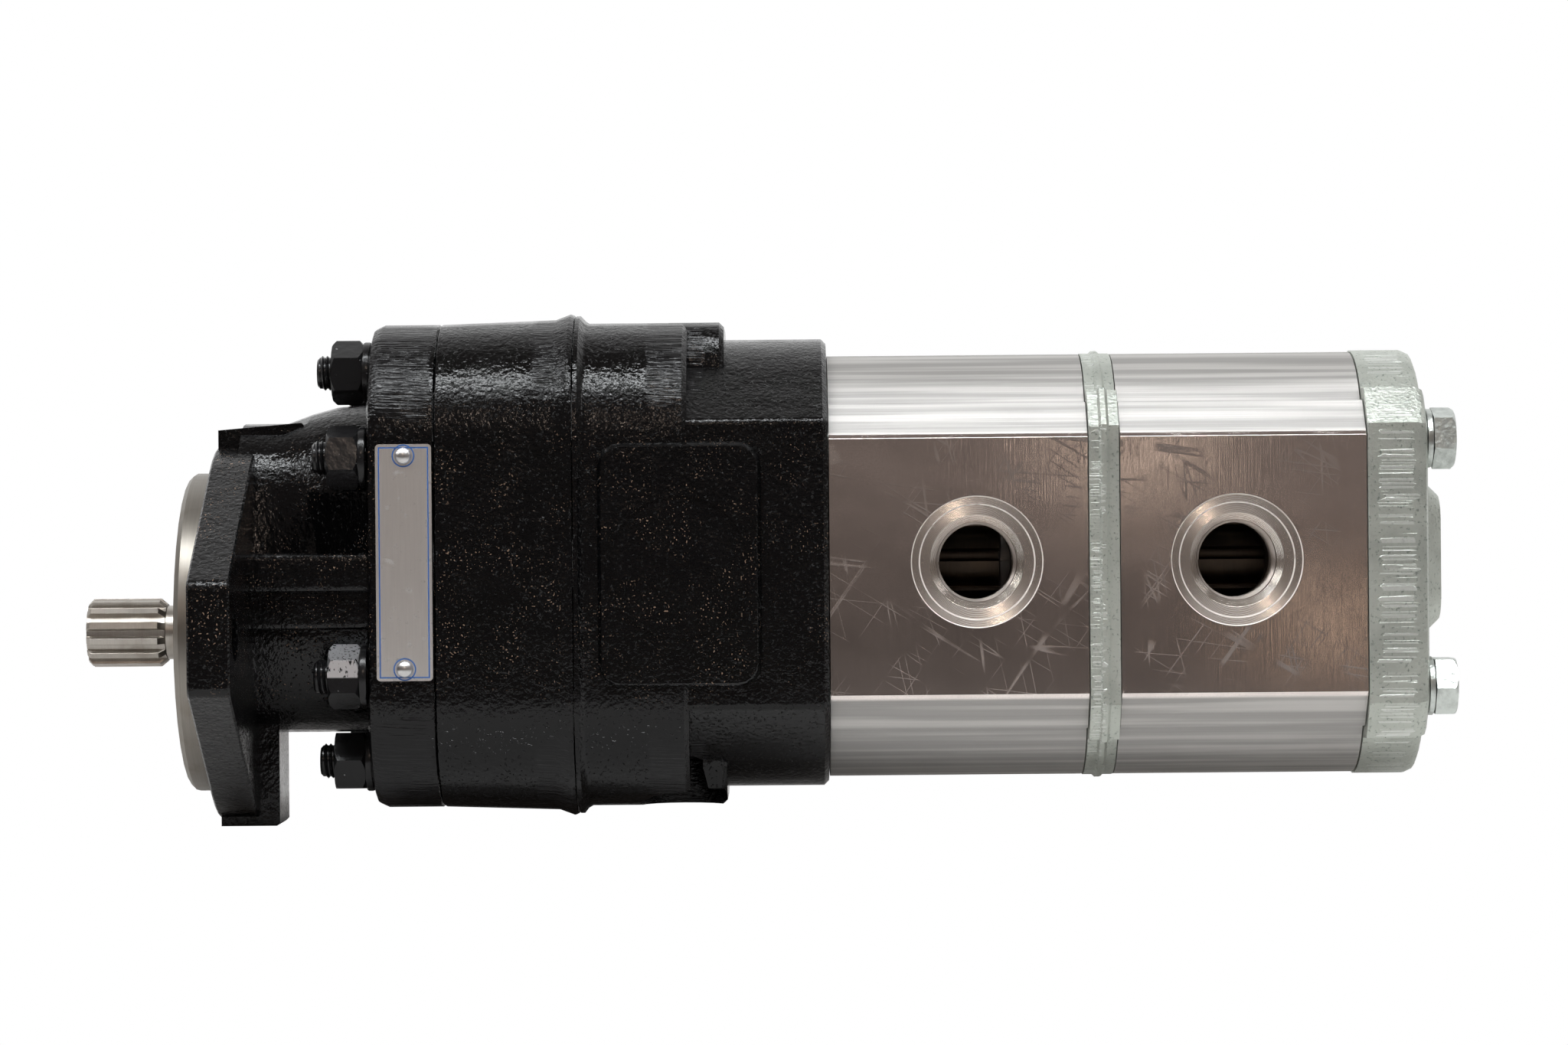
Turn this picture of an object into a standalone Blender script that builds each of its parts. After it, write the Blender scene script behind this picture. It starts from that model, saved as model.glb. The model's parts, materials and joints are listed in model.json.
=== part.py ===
"""Triple hydraulic gear pump: a cast iron front section with two aluminium sections behind it.

The shaft lies along X, with the centre of its end face at the origin, and +Z is up. The
outlet ports of the two aluminium sections face -Y, and their inlets face +Y. Each section
holds two gears on parallel axes: the drive gear turns with the shaft, and the driven gear
lies straight above it. Every size is in metres.
"""
import math

import bmesh
import bpy
from mathutils import Matrix, Vector

# Clearance between pieces that touch
GAP = 0.0003

# Gears, the same in all three sections
CENTRE_DISTANCE = 0.0415
GEAR_TEETH = 12
GEAR_PRESSURE_ANGLE = math.radians(25.0)
GEAR_BACKLASH = 0.0005
ADDENDUM_FACTOR = 1.0
DEDENDUM_FACTOR = 1.25
FLANK_POINTS = 3
CHAMBER_CLEARANCE = 0.0004

# Lengths along the shaft, front to back
SHAFT_PROJECTION = 0.0333
PILOT_HEIGHT = 0.0092
FLANGE_THICKNESS = 0.0130
LUG_REACH = 0.0192
NECK_REACH = 0.0510
PLATE_THICKNESS = 0.0210
HOUSING_LENGTH = 0.0430
REAR_COVER_LENGTH = 0.0790
BODY_1_LENGTH = 0.0807
SPACER_THICKNESS = 0.0097
BODY_2_LENGTH = 0.0768
END_COVER_THICKNESS = 0.0190
END_BOSS_HEIGHT = 0.0073

# Drive shaft
SPLINE_TEETH = 13
SPLINE_LENGTH = 0.0250
SPLINE_TIP_RADIUS = 0.0109
SPLINE_ROOT_RADIUS = 0.0091
SPLINE_TOOTH_SHARE = 0.50
SPLINE_TAPER = 0.18
SPLINE_CHAMFER = 0.0013
SPLINE_RUN_OUT = 0.0022
RELIEF_RADIUS = 0.0086
RELIEF_LENGTH = 0.0050
SHAFT_CHAMFER = 0.0012
SEAL_LAND_RADIUS = 0.0124
FRONT_JOURNAL_RADIUS = 0.01265
REAR_JOURNAL_RADIUS = 0.0100

# Splined stubs and couplings between the sections
STUB_TEETH = 8
STUB_TIP_RADIUS = 0.0085
STUB_ROOT_RADIUS = 0.0070
STUB_TOOTH_SHARE = 0.45
COUPLING_RADIUS = 0.0120
COUPLING_FRONT_ROOM = 0.0125
COUPLING_REAR_ROOM = 0.0105
COUPLING_CLEARANCE = 0.0007

# Bearings and thrust plates of the front section
BUSH_WALL = 0.0032
BUSH_LENGTH = 0.0260
THRUST_PLATE = 0.0040

# Shaft seal and its retaining ring
SEAL_RADIUS = 0.0200
SEAL_WIDTH = 0.0080
SEAL_LIP_WALL = 0.0022
RING_SETBACK = 0.0015
RING_THICKNESS = 0.0016
RING_WIDTH = 0.0024
RING_GROOVE_DEPTH = 0.0014
RING_MOUTH = math.radians(42.0)
RING_LUG_REACH = 0.0045
RING_LUG_WIDTH = 0.0050

# Mounting flange of the front cover
PILOT_RADIUS = 0.0508
PILOT_EDGE = 0.0016
FLANGE_RADIUS = 0.0600
EAR_REACH = 0.0870
EAR_HALF_HEIGHT = 0.0186
EAR_CORNER = 0.0040
FLANGE_EDGE = 0.0006
FLANGE_HOLE_OFFSET = 0.0730
FLANGE_HOLE_RADIUS = 0.00715
LUG_DROP = 0.0014
LUG_EDGE = 0.0010
CREST_HALF_WIDTH = 0.0130
CREST_HEIGHT = 0.0643
CREST_RISE = 0.0022
CREST_RUN = 0.0270

# Neck of the front cover, round the two bearings
NECK_LOW_RADIUS = 0.0323
NECK_HIGH_RADIUS = 0.0250
NECK_FLARE = 0.0058
NECK_FLARE_START = 0.0295
WEB_HALF_WIDTH = 0.0450
WEB_STEP = 0.0040
WEB_TOP = 0.0250
WEB_SPLIT = 0.0130
WEB_EDGE = 0.0020
NUT_ROOM = 0.0005
GUSSET_RUN = 0.0240
GUSSET_RISE = 0.0240
FLANGE_ROOT_SHARES = (0.5, 0.6, 0.7)
PLATE_ROOT_SHARES = (0.5, 0.4)

# Cast sections: a rounded rectangle round the mid height
CAST_HALF_WIDTH = 0.0535
CAST_HALF_HEIGHT = 0.0762
CAST_CORNER = 0.0360
PLATE_EDGE = 0.0035
SEAM_CHAMFER = 0.0006
HOUSING_DRAFT = 0.0012
RIDGE_HEIGHT = 0.0018
RIDGE_LENGTH = 0.0045
RIDGE_FALL = 0.0040
CHAMBER_POCKET_REACH = 0.0330
CHAMBER_POCKET_HALF_HEIGHT = 0.0090

# Rear end of the rear cover, where it steps down to the aluminium sections
SHOULDER_LENGTH = 0.0351
CROWN_LENGTH = 0.0465
CROWN_HALF_WIDTH = 0.0300
CROWN_CORNER = 0.0120
STEP_SIDE_INSET = 0.0015
STEP_ARC_INSET = 0.0062
STEP_CORNER_HEIGHT = 0.0430
STEP_CORNER_RADIUS = 0.0030
STEP_EDGE = 0.0015

# Pads on the two sides of the rear cover
PAD_SETBACK = 0.0325
PAD_RAISE = 0.0015
PAD_HALF_LENGTH = 0.0250
PAD_HALF_HEIGHT = 0.0375
PAD_CORNER = 0.0070
PAD_THICKNESS = 0.0035
PAD_DRAFT = 0.0010
PAD_RING_RADIUS = 0.0225
PAD_RING_WIDTH = 0.0010
PAD_RING_HEIGHT = 0.0006

# Passages and ports of the front section
INLET_PASSAGE_OFFSET = 0.0250
INLET_PASSAGE_RADIUS = 0.0075
MAIN_INLET_RADIUS = 0.0127
MAIN_INLET_DEPTH = 0.0330
PAD_BOLT_HALF_LENGTH = 0.0131
PAD_BOLT_HALF_HEIGHT = 0.0262
PAD_BOLT_RADIUS = 0.0042
PAD_BOLT_DEPTH = 0.0180
MAIN_OUTLET_SETBACK = 0.0460
MAIN_OUTLET_OFFSET = 0.0220
OUTLET_PASSAGE_RADIUS = 0.0060
MAIN_OUTLET_THREAD_RADIUS = 0.0102
MAIN_OUTLET_THREAD_DEPTH = 0.0150
MAIN_OUTLET_FACE_RADIUS = 0.0140
MAIN_OUTLET_FACE_DEPTH = 0.0055

# Aluminium sections, one extruded profile
PROFILE_MID_HEIGHT = 0.0194
PROFILE_HALF_WIDTH = 0.0450
PROFILE_HALF_HEIGHT = 0.0672
PROFILE_CORNER_HEIGHT = 0.0399
PROFILE_FACET_RUN = 0.0090
PROFILE_FACET_RISE = 0.0110
PROFILE_LEDGE = 0.0052
CAST_LOBE_GROWTH = 0.0035
SPACER_GROWTH = 0.0002
SPACER_RIDGE_HEIGHT = 0.0008
SPACER_RIDGE_WIDTH = 0.0016
GEAR_1_WIDTH = 0.0280
GEAR_2_WIDTH = 0.0240
PORT_1_OFFSET = 0.0458
PORT_2_OFFSET = 0.0361
OUTLET_FACE_RADIUS = 0.0205
OUTLET_FACE_DEPTH = 0.0004
OUTLET_RING_RADIUS = 0.0179
OUTLET_RING_DEPTH = 0.0008
OUTLET_SEAT_RADIUS = 0.0147
OUTLET_SEAT_DEPTH = 0.0034
OUTLET_THREAD_RADIUS = 0.01245
OUTLET_THREAD_DEPTH = 0.0190
OUTLET_BORE_RADIUS = 0.0118
INLET_FACE_RADIUS = 0.0245
INLET_FACE_DEPTH = 0.0004
INLET_SEAT_RADIUS = 0.0176
INLET_SEAT_DEPTH = 0.0034
INLET_THREAD_RADIUS = 0.0156
INLET_THREAD_DEPTH = 0.0190
INLET_BORE_RADIUS = 0.0135
PORT_REACH = 0.8

# End cover
END_COVER_GROWTH = 0.0005
END_COVER_EDGE = 0.0032
END_BOSS_HALF_WIDTH = 0.0210
END_BOSS_HALF_HEIGHT = 0.0210
END_BOSS_CORNER = 0.0090
END_BOSS_SLOPE = 0.0060
END_BOSS_EDGE = 0.0012

# Studs and nuts of the cast sections
STUD_RADIUS = 0.00555
STUD_CHAMFER = 0.0010
STUD_CLEARANCE = 0.0003
STUD_ENGAGEMENT = 0.0200
STUD_STICK_OUT = 0.0048
STUD_SIDE_OFFSET = 0.0430
STUD_SIDE_HEIGHT = 0.0340
STUD_TOP_OFFSET = 0.0250
STUD_TOP_HEIGHT = 0.0610
NUT_ACROSS_FLATS = 0.0175
NUT_HEIGHT = 0.0095
NUT_CHAMFER = 0.0013
WASHER_RADIUS = 0.0089
WASHER_THICKNESS = 0.0026
NUT_TURNS_DEG = (0.0, 14.0, 22.0, 4.0, 8.0, 27.0, 11.0, 19.0)

# Tie bolts of the aluminium sections
TIE_RADIUS = 0.0050
TIE_CLEARANCE = 0.0004
TIE_OFFSET = 0.0330
TIE_HEIGHT = 0.0387
TIE_ENGAGEMENT = 0.0200
TIE_HEAD_ACROSS_FLATS = 0.0170
TIE_HEAD_HEIGHT = 0.0068
TIE_HEAD_CHAMFER = 0.0012
TIE_WASHER_RADIUS = 0.0092
TIE_WASHER_THICKNESS = 0.0018
TIE_TURNS_DEG = (6.0, 20.0, 3.0, 25.0)

# Face seals in their grooves
SEAL_GROOVE_WIDTH = 0.0030
SEAL_GROOVE_DEPTH = 0.0022
CAST_SEAL_HALF_WIDTH = 0.0365
CAST_SEAL_HALF_HEIGHT = 0.0495
CAST_SEAL_CORNER = 0.0280
PROFILE_SEAL_RADIUS = 0.0285

# Data plate on the near side of the front cover
DATA_PLATE_WIDTH = 0.0173
DATA_PLATE_HEIGHT = 0.0730
DATA_PLATE_THICKNESS = 0.0008
DATA_PLATE_SETBACK = 0.0032
DATA_PLATE_RAISE = 0.0014
DATA_PLATE_CORNER = 0.0012
RIVET_RADIUS = 0.0012
RIVET_HEAD_RADIUS = 0.0026
RIVET_HEAD_HEIGHT = 0.0016
RIVET_LENGTH = 0.0034
RIVET_EDGE_DISTANCE = 0.0036

# Directions at which a rounded and a chamfered edge have their points
ROUND_ANGLES = [math.radians(angle) for angle in (0.0, 40.0, 90.0)]
CHAMFER_ANGLES = [math.radians(angle) for angle in (0.0, 90.0)]

# Number of facets round a full circle
FINE = 32
MEDIUM = 18
COARSE = 8
PORT_FACETS = 32
PROFILE_ARC_FACETS = 5
BORE_FACETS = 24
JOURNAL_FACETS = 20
STUD_FACETS = 12
WASHER_FACETS = 16

# Stations along the shaft, worked out from the lengths
X_PILOT = SHAFT_PROJECTION
X_FLANGE = X_PILOT + PILOT_HEIGHT
X_EAR_BACK = X_FLANGE + FLANGE_THICKNESS
X_LUG_BACK = X_FLANGE + LUG_REACH
X_PLATE = X_FLANGE + NECK_REACH
X_HOUSING = X_PLATE + PLATE_THICKNESS
X_REAR = X_HOUSING + HOUSING_LENGTH
X_BODY_1 = X_REAR + REAR_COVER_LENGTH
X_SPACER = X_BODY_1 + BODY_1_LENGTH
X_BODY_2 = X_SPACER + SPACER_THICKNESS
X_END = X_BODY_2 + BODY_2_LENGTH
X_END_FACE = X_END + END_COVER_THICKNESS

# Heights and radii, worked out from the driving sizes
MID_HEIGHT = CENTRE_DISTANCE / 2
STEP_HALF_WIDTH = CAST_HALF_WIDTH - STEP_SIDE_INSET
STEP_ARC_RADIUS = (
    math.hypot(STEP_HALF_WIDTH - STEP_CORNER_RADIUS,
               MID_HEIGHT + STEP_CORNER_HEIGHT - CENTRE_DISTANCE)
    + STEP_CORNER_RADIUS - STEP_ARC_INSET)
MODULE = CENTRE_DISTANCE / GEAR_TEETH
GEAR_TIP_RADIUS = MODULE * (GEAR_TEETH / 2 + ADDENDUM_FACTOR)
CHAMBER_RADIUS = GEAR_TIP_RADIUS + CHAMBER_CLEARANCE
BUSH_BORE_RADIUS = FRONT_JOURNAL_RADIUS + GAP
BUSH_RADIUS = BUSH_BORE_RADIUS + BUSH_WALL
BEARING_BORE_RADIUS = BUSH_RADIUS + GAP
COUPLING_BORE_RADIUS = COUPLING_RADIUS + COUPLING_CLEARANCE
COUPLING_LENGTH = REAR_COVER_LENGTH - BUSH_LENGTH - COUPLING_FRONT_ROOM - COUPLING_REAR_ROOM
X_COUPLING_1 = X_BODY_1 - COUPLING_REAR_ROOM - COUPLING_LENGTH / 2
X_COUPLING_2 = X_SPACER + SPACER_THICKNESS / 2
NUT_CORNER_RADIUS = NUT_ACROSS_FLATS / math.sqrt(3)

# How far a cutter runs past the face that it opens
OVERCUT = 0.0010


def clear_scene():
    """Remove every object, so that the script can run again in an open file."""
    for obj in list(bpy.data.objects):
        bpy.data.objects.remove(obj, do_unlink=True)


def make_material(name, colour, roughness, metallic):
    material = bpy.data.materials.new(name)
    material.use_nodes = True
    shader = material.node_tree.nodes["Principled BSDF"]
    shader.inputs["Base Color"].default_value = (*colour, 1.0)
    shader.inputs["Roughness"].default_value = roughness
    shader.inputs["Metallic"].default_value = metallic
    return material


def finish_mesh(bm, name):
    """Close up a bmesh, turn its faces outwards and return it as a smooth-shaded mesh."""
    bmesh.ops.remove_doubles(bm, verts=bm.verts, dist=1e-6)
    bmesh.ops.recalc_face_normals(bm, faces=bm.faces)
    mesh = bpy.data.meshes.new(name)
    bm.to_mesh(mesh)
    bm.free()
    mesh.shade_smooth()
    mesh.set_sharp_from_angle(angle=math.radians(32.0))
    return mesh


def add_object(name, mesh, guide=False):
    """Link a mesh as an object. A guide only cuts or joins, and isn't part of the pump."""
    obj = bpy.data.objects.new(name, mesh)
    bpy.context.collection.objects.link(obj)
    if guide:
        obj.hide_render = True
        obj.display_type = "WIRE"
    return obj


def combine(target, guide, operation):
    modifier = target.modifiers.new(guide.name, "BOOLEAN")
    modifier.operation = operation
    modifier.solver = "EXACT"
    modifier.object = guide


def gather(name, guides):
    """Make one guide of several that keep clear of each other."""
    bm = bmesh.new()
    for guide in guides:
        bm.from_mesh(guide.data)
        bpy.data.objects.remove(guide, do_unlink=True)
    return add_object(name, finish_mesh(bm, name), guide=True)


def cut(target, *guides):
    """Cut guides away. Those that keep clear of each other come as one list."""
    for number, guide in enumerate(guides, start=1):
        if isinstance(guide, list):
            guide = gather(f"{target.name}_cuts_{number}", guide)
        combine(target, guide, "DIFFERENCE")


def join(target, *guides):
    for guide in guides:
        combine(target, guide, "UNION")


def dress(obj, material, origin=(0.0, 0.0, 0.0), parent=None):
    """Give a piece its material and its origin, and hang it on its axis if it turns."""
    obj.data.materials.clear()
    obj.data.materials.append(material)
    obj.data.transform(Matrix.Translation(-Vector(origin)))
    obj.location = origin
    if parent is not None:
        obj.parent = parent
        obj.location = Vector(origin) - parent.location
    return obj


def circle(radius, y=0.0, z=0.0, facets=FINE):
    """Points of a circle across the shaft."""
    points = []
    for i in range(facets):
        angle = 2 * math.pi * i / facets
        points.append((y + radius * math.cos(angle), z + radius * math.sin(angle)))
    return points


def hull(discs, grow=0.0):
    """Outline of a belt pulled round discs, each (y, z, radius, facets), anticlockwise.

    The number of points is the same for any growth, so that grown outlines can be lofted.
    """
    count = len(discs)
    leaving = []
    for i, (y, z, radius, _) in enumerate(discs):
        next_y, next_z, next_radius, _ = discs[(i + 1) % count]
        heading = math.atan2(next_z - z, next_y - y)
        tilt = math.asin((next_radius - radius) / math.hypot(next_y - y, next_z - z))
        leaving.append(heading - math.pi / 2 - tilt)
    points = []
    for i, (y, z, radius, facets) in enumerate(discs):
        start = leaving[i - 1]
        span = (leaving[i] - start) % (2 * math.pi)
        for step in range(facets + 1):
            angle = start + span * step / facets
            reach = radius + grow
            points.append((y + reach * math.cos(angle), z + reach * math.sin(angle)))
    return points


def rounded_box(half_width, half_height, corner, y=0.0, z=0.0, facets=5):
    """Discs of a rounded rectangle, for hull."""
    dy = half_width - corner
    dz = half_height - corner
    return [
        (y + dy, z - dz, corner, facets),
        (y + dy, z + dz, corner, facets),
        (y - dy, z + dz, corner, facets),
        (y - dy, z - dz, corner, facets),
    ]


def figure_eight(radius, facets=15):
    """Outline of two crossing circles, one round each gear axis.

    Its points lie a little outside the circles, so that its flats touch them.
    """
    half_step = (math.pi / 2 + math.asin(MID_HEIGHT / radius)) / facets
    reach = radius / math.cos(half_step)
    waist = math.asin(MID_HEIGHT / reach)
    points = []
    for axis, start in ((CENTRE_DISTANCE, -waist), (0.0, math.pi - waist)):
        span = math.pi + 2 * waist
        for step in range(facets):
            angle = start + span * step / facets
            points.append((reach * math.cos(angle), axis + reach * math.sin(angle)))
    return points


def loft_mesh(name, sections):
    """Skin a run of outlines, each (x, points), and close its two ends."""
    bm = bmesh.new()
    rings = [[bm.verts.new((x, y, z)) for y, z in points] for x, points in sections]
    count = len(rings[0])
    for ring, after in zip(rings, rings[1:]):
        for i in range(count):
            j = (i + 1) % count
            bm.faces.new((ring[i], ring[j], after[j], after[i]))
    bm.faces.new(rings[0])
    bm.faces.new(rings[-1])
    return finish_mesh(bm, name)


def loft(name, sections, guide=False):
    return add_object(name, loft_mesh(name, sections), guide)


def prism(name, points, x0, x1, guide=False):
    """A straight run of one outline along the shaft."""
    return loft(name, [(x0, points), (x1, points)], guide)


def tube_mesh(name, outer, inner, x0, x1):
    """A straight run of a ring, between two outlines of as many points."""
    bm = bmesh.new()
    rings = []
    for x, points in ((x0, outer), (x1, outer), (x1, inner), (x0, inner)):
        rings.append([bm.verts.new((x, y, z)) for y, z in points])
    count = len(outer)
    for k, ring in enumerate(rings):
        after = rings[(k + 1) % 4]
        for i in range(count):
            j = (i + 1) % count
            bm.faces.new((ring[i], ring[j], after[j], after[i]))
    return finish_mesh(bm, name)


def turned_mesh(name, profile, facets=FINE, y=0.0, z=0.0):
    """Spin a profile of (x, radius) points about an axis that lies along the shaft.

    A profile that starts and ends on the axis makes a solid. Any other profile is taken as
    a closed loop, which makes a ring.
    """
    bm = bmesh.new()
    solid = profile[0][1] == 0.0 and profile[-1][1] == 0.0
    verts = [bm.verts.new((x, y + radius, z)) for x, radius in profile]
    edges = [bm.edges.new(pair) for pair in zip(verts, verts[1:])]
    if not solid:
        edges.append(bm.edges.new((verts[-1], verts[0])))
    centre = Vector((0.0, y, z))
    axis = Vector((1.0, 0.0, 0.0))
    bmesh.ops.spin(
        bm, geom=verts + edges, cent=centre, axis=axis,
        angle=2 * math.pi, steps=facets, use_duplicate=False,
    )
    return finish_mesh(bm, name)


def turned(name, profile, facets=FINE, y=0.0, z=0.0, guide=False):
    return add_object(name, turned_mesh(name, profile, facets, y, z), guide)


def rod(name, x0, x1, radius, y=0.0, z=0.0, facets=FINE, guide=True):
    return prism(name, circle(radius, y, z, facets), x0, x1, guide)


def rods(name, places, x0, x1, radius, facets=COARSE):
    """One guide made of several rods, to drill a pattern of holes.

    Each rod's flats touch the radius, so that what passes through keeps its clearance.
    """
    bm = bmesh.new()
    reach = radius / math.cos(math.pi / facets)
    for y, z in places:
        mesh = loft_mesh(name, [(x, circle(reach, y, z, facets)) for x in (x0, x1)])
        bm.from_mesh(mesh)
        bpy.data.meshes.remove(mesh)
    return add_object(name, finish_mesh(bm, name), guide=True)


def turn_to_side(obj, x, z, side):
    """Stand a shape that was turned about X on the side of the pump.

    Its x becomes the distance out from the plane y = 0 on that side, which is -1 for the
    near side and 1 for the far side, and its axis passes through (x, z).
    """
    turn = Matrix.Rotation(math.radians(90.0) * side, 4, "Z")
    obj.data.transform(Matrix.Translation((x, 0.0, z)) @ turn)
    return obj


def plate_across(name, points, depth, side, guide=True):
    """A flat plate that faces sideways: points are (x, z), and depth is (inner, outer)."""
    bm = bmesh.new()
    inner, outer = [[bm.verts.new((x, side * y, z)) for x, z in points] for y in depth]
    count = len(points)
    for i in range(count):
        j = (i + 1) % count
        bm.faces.new((inner[i], inner[j], outer[j], outer[i]))
    bm.faces.new(inner)
    bm.faces.new(outer)
    return add_object(name, finish_mesh(bm, name), guide)


def level_plate(name, points, z0, z1, side):
    """A guide for a flat plate that lies level: points are (x, distance out to the side)."""
    bm = bmesh.new()
    low, high = [[bm.verts.new((x, side * y, z)) for x, y in points] for z in (z0, z1)]
    count = len(points)
    for i in range(count):
        j = (i + 1) % count
        bm.faces.new((low[i], low[j], high[j], high[i]))
    bm.faces.new(low)
    bm.faces.new(high)
    return add_object(name, finish_mesh(bm, name), guide=True)


def toothed(teeth, tip_radius, root_radius, tooth_share, limit=None, grow=0.0):
    """Outline of a straight-sided spline, with its teeth turned down to a limit radius."""
    points = []
    pitch = 2 * math.pi / teeth
    mean_radius = (tip_radius + root_radius) / 2
    half = pitch * tooth_share / 2
    foot = (root_radius, 1 + SPLINE_TAPER)
    tip = (tip_radius, 1 - SPLINE_TAPER)
    for tooth in range(teeth):
        centre = tooth * pitch
        for (radius, width), side in ((foot, -1), (tip, -1), (tip, 1), (foot, 1)):
            angle = centre + side * (half * width + grow / mean_radius)
            reach = radius + grow
            if limit is not None:
                reach = min(reach, limit)
            points.append((reach * math.cos(angle), reach * math.sin(angle)))
    return points


def gear_outline(turn):
    """Outline of an involute gear whose first tooth points along turn."""
    pitch_radius = CENTRE_DISTANCE / 2
    base_radius = pitch_radius * math.cos(GEAR_PRESSURE_ANGLE)
    root_radius = pitch_radius - DEDENDUM_FACTOR * MODULE
    form_radius = max(base_radius, root_radius)
    involute = math.tan(GEAR_PRESSURE_ANGLE) - GEAR_PRESSURE_ANGLE
    pitch_half = math.pi / (2 * GEAR_TEETH) - GEAR_BACKLASH / (4 * pitch_radius)
    flank = []
    for step in range(FLANK_POINTS):
        radius = form_radius + (GEAR_TIP_RADIUS - form_radius) * step / (FLANK_POINTS - 1)
        roll = math.acos(min(1.0, base_radius / radius))
        flank.append((radius, pitch_half + involute - (math.tan(roll) - roll)))
    flank.insert(0, (root_radius, flank[0][1]))
    points = []
    for tooth in range(GEAR_TEETH):
        centre = turn + 2 * math.pi * tooth / GEAR_TEETH
        for radius, half in flank:
            points.append((radius * math.cos(centre - half), radius * math.sin(centre - half)))
        for radius, half in reversed(flank):
            points.append((radius * math.cos(centre + half), radius * math.sin(centre + half)))
    return points


def shifted(points, y=0.0, z=0.0):
    return [(py + y, pz + z) for py, pz in points]


def hexagon_mesh(name, across_flats, height, chamfer, bore=None, washer=None):
    """A hexagon whose corners are turned down at x = 0, up to height.

    It has a bore and a washer (radius, thickness) at its far end where they are given.
    """
    corner = across_flats / math.sqrt(3)
    inscribed = across_flats / 2
    hexagon = [corner if i % 2 == 0 else inscribed for i in range(12)]
    turned_down = [inscribed] * 12
    loops = [(0.0, turned_down), (chamfer, hexagon), (height, hexagon)]
    if washer:
        washer_radius, washer_thickness = washer
        rim = [washer_radius] * 12
        loops += [(height, rim), (height + washer_thickness, rim)]
    end = loops[-1][0]
    sections = []
    for x, reaches in loops:
        angles = [2 * math.pi * i / 12 for i in range(12)]
        sections.append((x, [(r * math.cos(a), r * math.sin(a)) for r, a in zip(reaches, angles)]))
    if not bore:
        return loft_mesh(name, sections)
    bm = bmesh.new()
    loops = sections + [(end, circle(bore, facets=12)), (0.0, circle(bore, facets=12))]
    rings = [[bm.verts.new((x, y, z)) for y, z in points] for x, points in loops]
    for k, ring in enumerate(rings):
        after = rings[(k + 1) % len(rings)]
        for i in range(12):
            j = (i + 1) % 12
            bm.faces.new((ring[i], ring[j], after[j], after[i]))
    return finish_mesh(bm, name)


def evaluated_mesh(obj):
    """The mesh of an object with its modifiers applied, to share among its copies."""
    depsgraph = bpy.context.evaluated_depsgraph_get()
    return bpy.data.meshes.new_from_object(obj.evaluated_get(depsgraph))


def stud_places():
    """The eight stud centres (y, z), anticlockwise from the upper one on the far side."""
    quarter = ((STUD_SIDE_OFFSET, STUD_SIDE_HEIGHT), (STUD_TOP_OFFSET, STUD_TOP_HEIGHT))
    places = []
    for side_y, side_z in ((1, 1), (-1, 1), (-1, -1), (1, -1)):
        for y, z in quarter:
            places.append((side_y * y, MID_HEIGHT + side_z * z))
    return places


def tie_places():
    return [
        (side_y * TIE_OFFSET, PROFILE_MID_HEIGHT + side_z * TIE_HEIGHT)
        for side_y, side_z in ((1, 1), (-1, 1), (-1, -1), (1, -1))
    ]


def cast_discs():
    return rounded_box(CAST_HALF_WIDTH, CAST_HALF_HEIGHT, CAST_CORNER, z=MID_HEIGHT, facets=6)


def step_discs():
    """Discs of the step behind the pads: an arc round each gear axis, and four corners."""
    dy = STEP_HALF_WIDTH - STEP_CORNER_RADIUS
    low = MID_HEIGHT - STEP_CORNER_HEIGHT
    high = MID_HEIGHT + STEP_CORNER_HEIGHT
    return [
        (dy, low, STEP_CORNER_RADIUS, 2),
        (dy, high, STEP_CORNER_RADIUS, 2),
        (0.0, CENTRE_DISTANCE, STEP_ARC_RADIUS, 9),
        (-dy, high, STEP_CORNER_RADIUS, 2),
        (-dy, low, STEP_CORNER_RADIUS, 2),
        (0.0, 0.0, STEP_ARC_RADIUS, 9),
    ]


def lobed_outline(grow=0.0, lobe=0.0):
    """Outline of the aluminium sections: flat sides, a lobe at each tie bolt, arcs at the ends.

    A lobe ends in a sloping facet and a ledge, from which the arc starts. The castings have
    larger lobes than the extrusions, by lobe.
    """
    foot = PROFILE_HALF_WIDTH - PROFILE_FACET_RUN
    ledge = PROFILE_CORNER_HEIGHT + PROFILE_FACET_RISE
    chord = foot - PROFILE_LEDGE
    rise = PROFILE_HALF_HEIGHT - ledge
    radius = (chord ** 2 + rise ** 2) / (2 * rise)
    centre = PROFILE_HALF_HEIGHT - radius
    slope = math.atan2(PROFILE_FACET_RISE, PROFILE_FACET_RUN)
    top = ledge + lobe + grow
    reach = radius + grow
    quarter = [
        (PROFILE_HALF_WIDTH + grow,
         PROFILE_CORNER_HEIGHT + lobe + grow * math.tan(math.pi / 4 - slope / 2)),
        (foot + grow * math.tan(slope / 2), top),
    ]
    start = math.asin((top - centre) / reach)
    for step in range(PROFILE_ARC_FACETS + 1):
        angle = start + (math.pi / 2 - start) * step / PROFILE_ARC_FACETS
        quarter.append((reach * math.cos(angle), centre + reach * math.sin(angle)))
    back = quarter[-2::-1]
    return [
        (side_y * y, PROFILE_MID_HEIGHT + side_z * z)
        for side_y, side_z, run in ((1, 1, quarter), (-1, 1, back), (-1, -1, quarter), (1, -1, back))
        for y, z in run
    ]


def cast_lobed_outline(grow):
    return lobed_outline(grow, CAST_LOBE_GROWTH)


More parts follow.
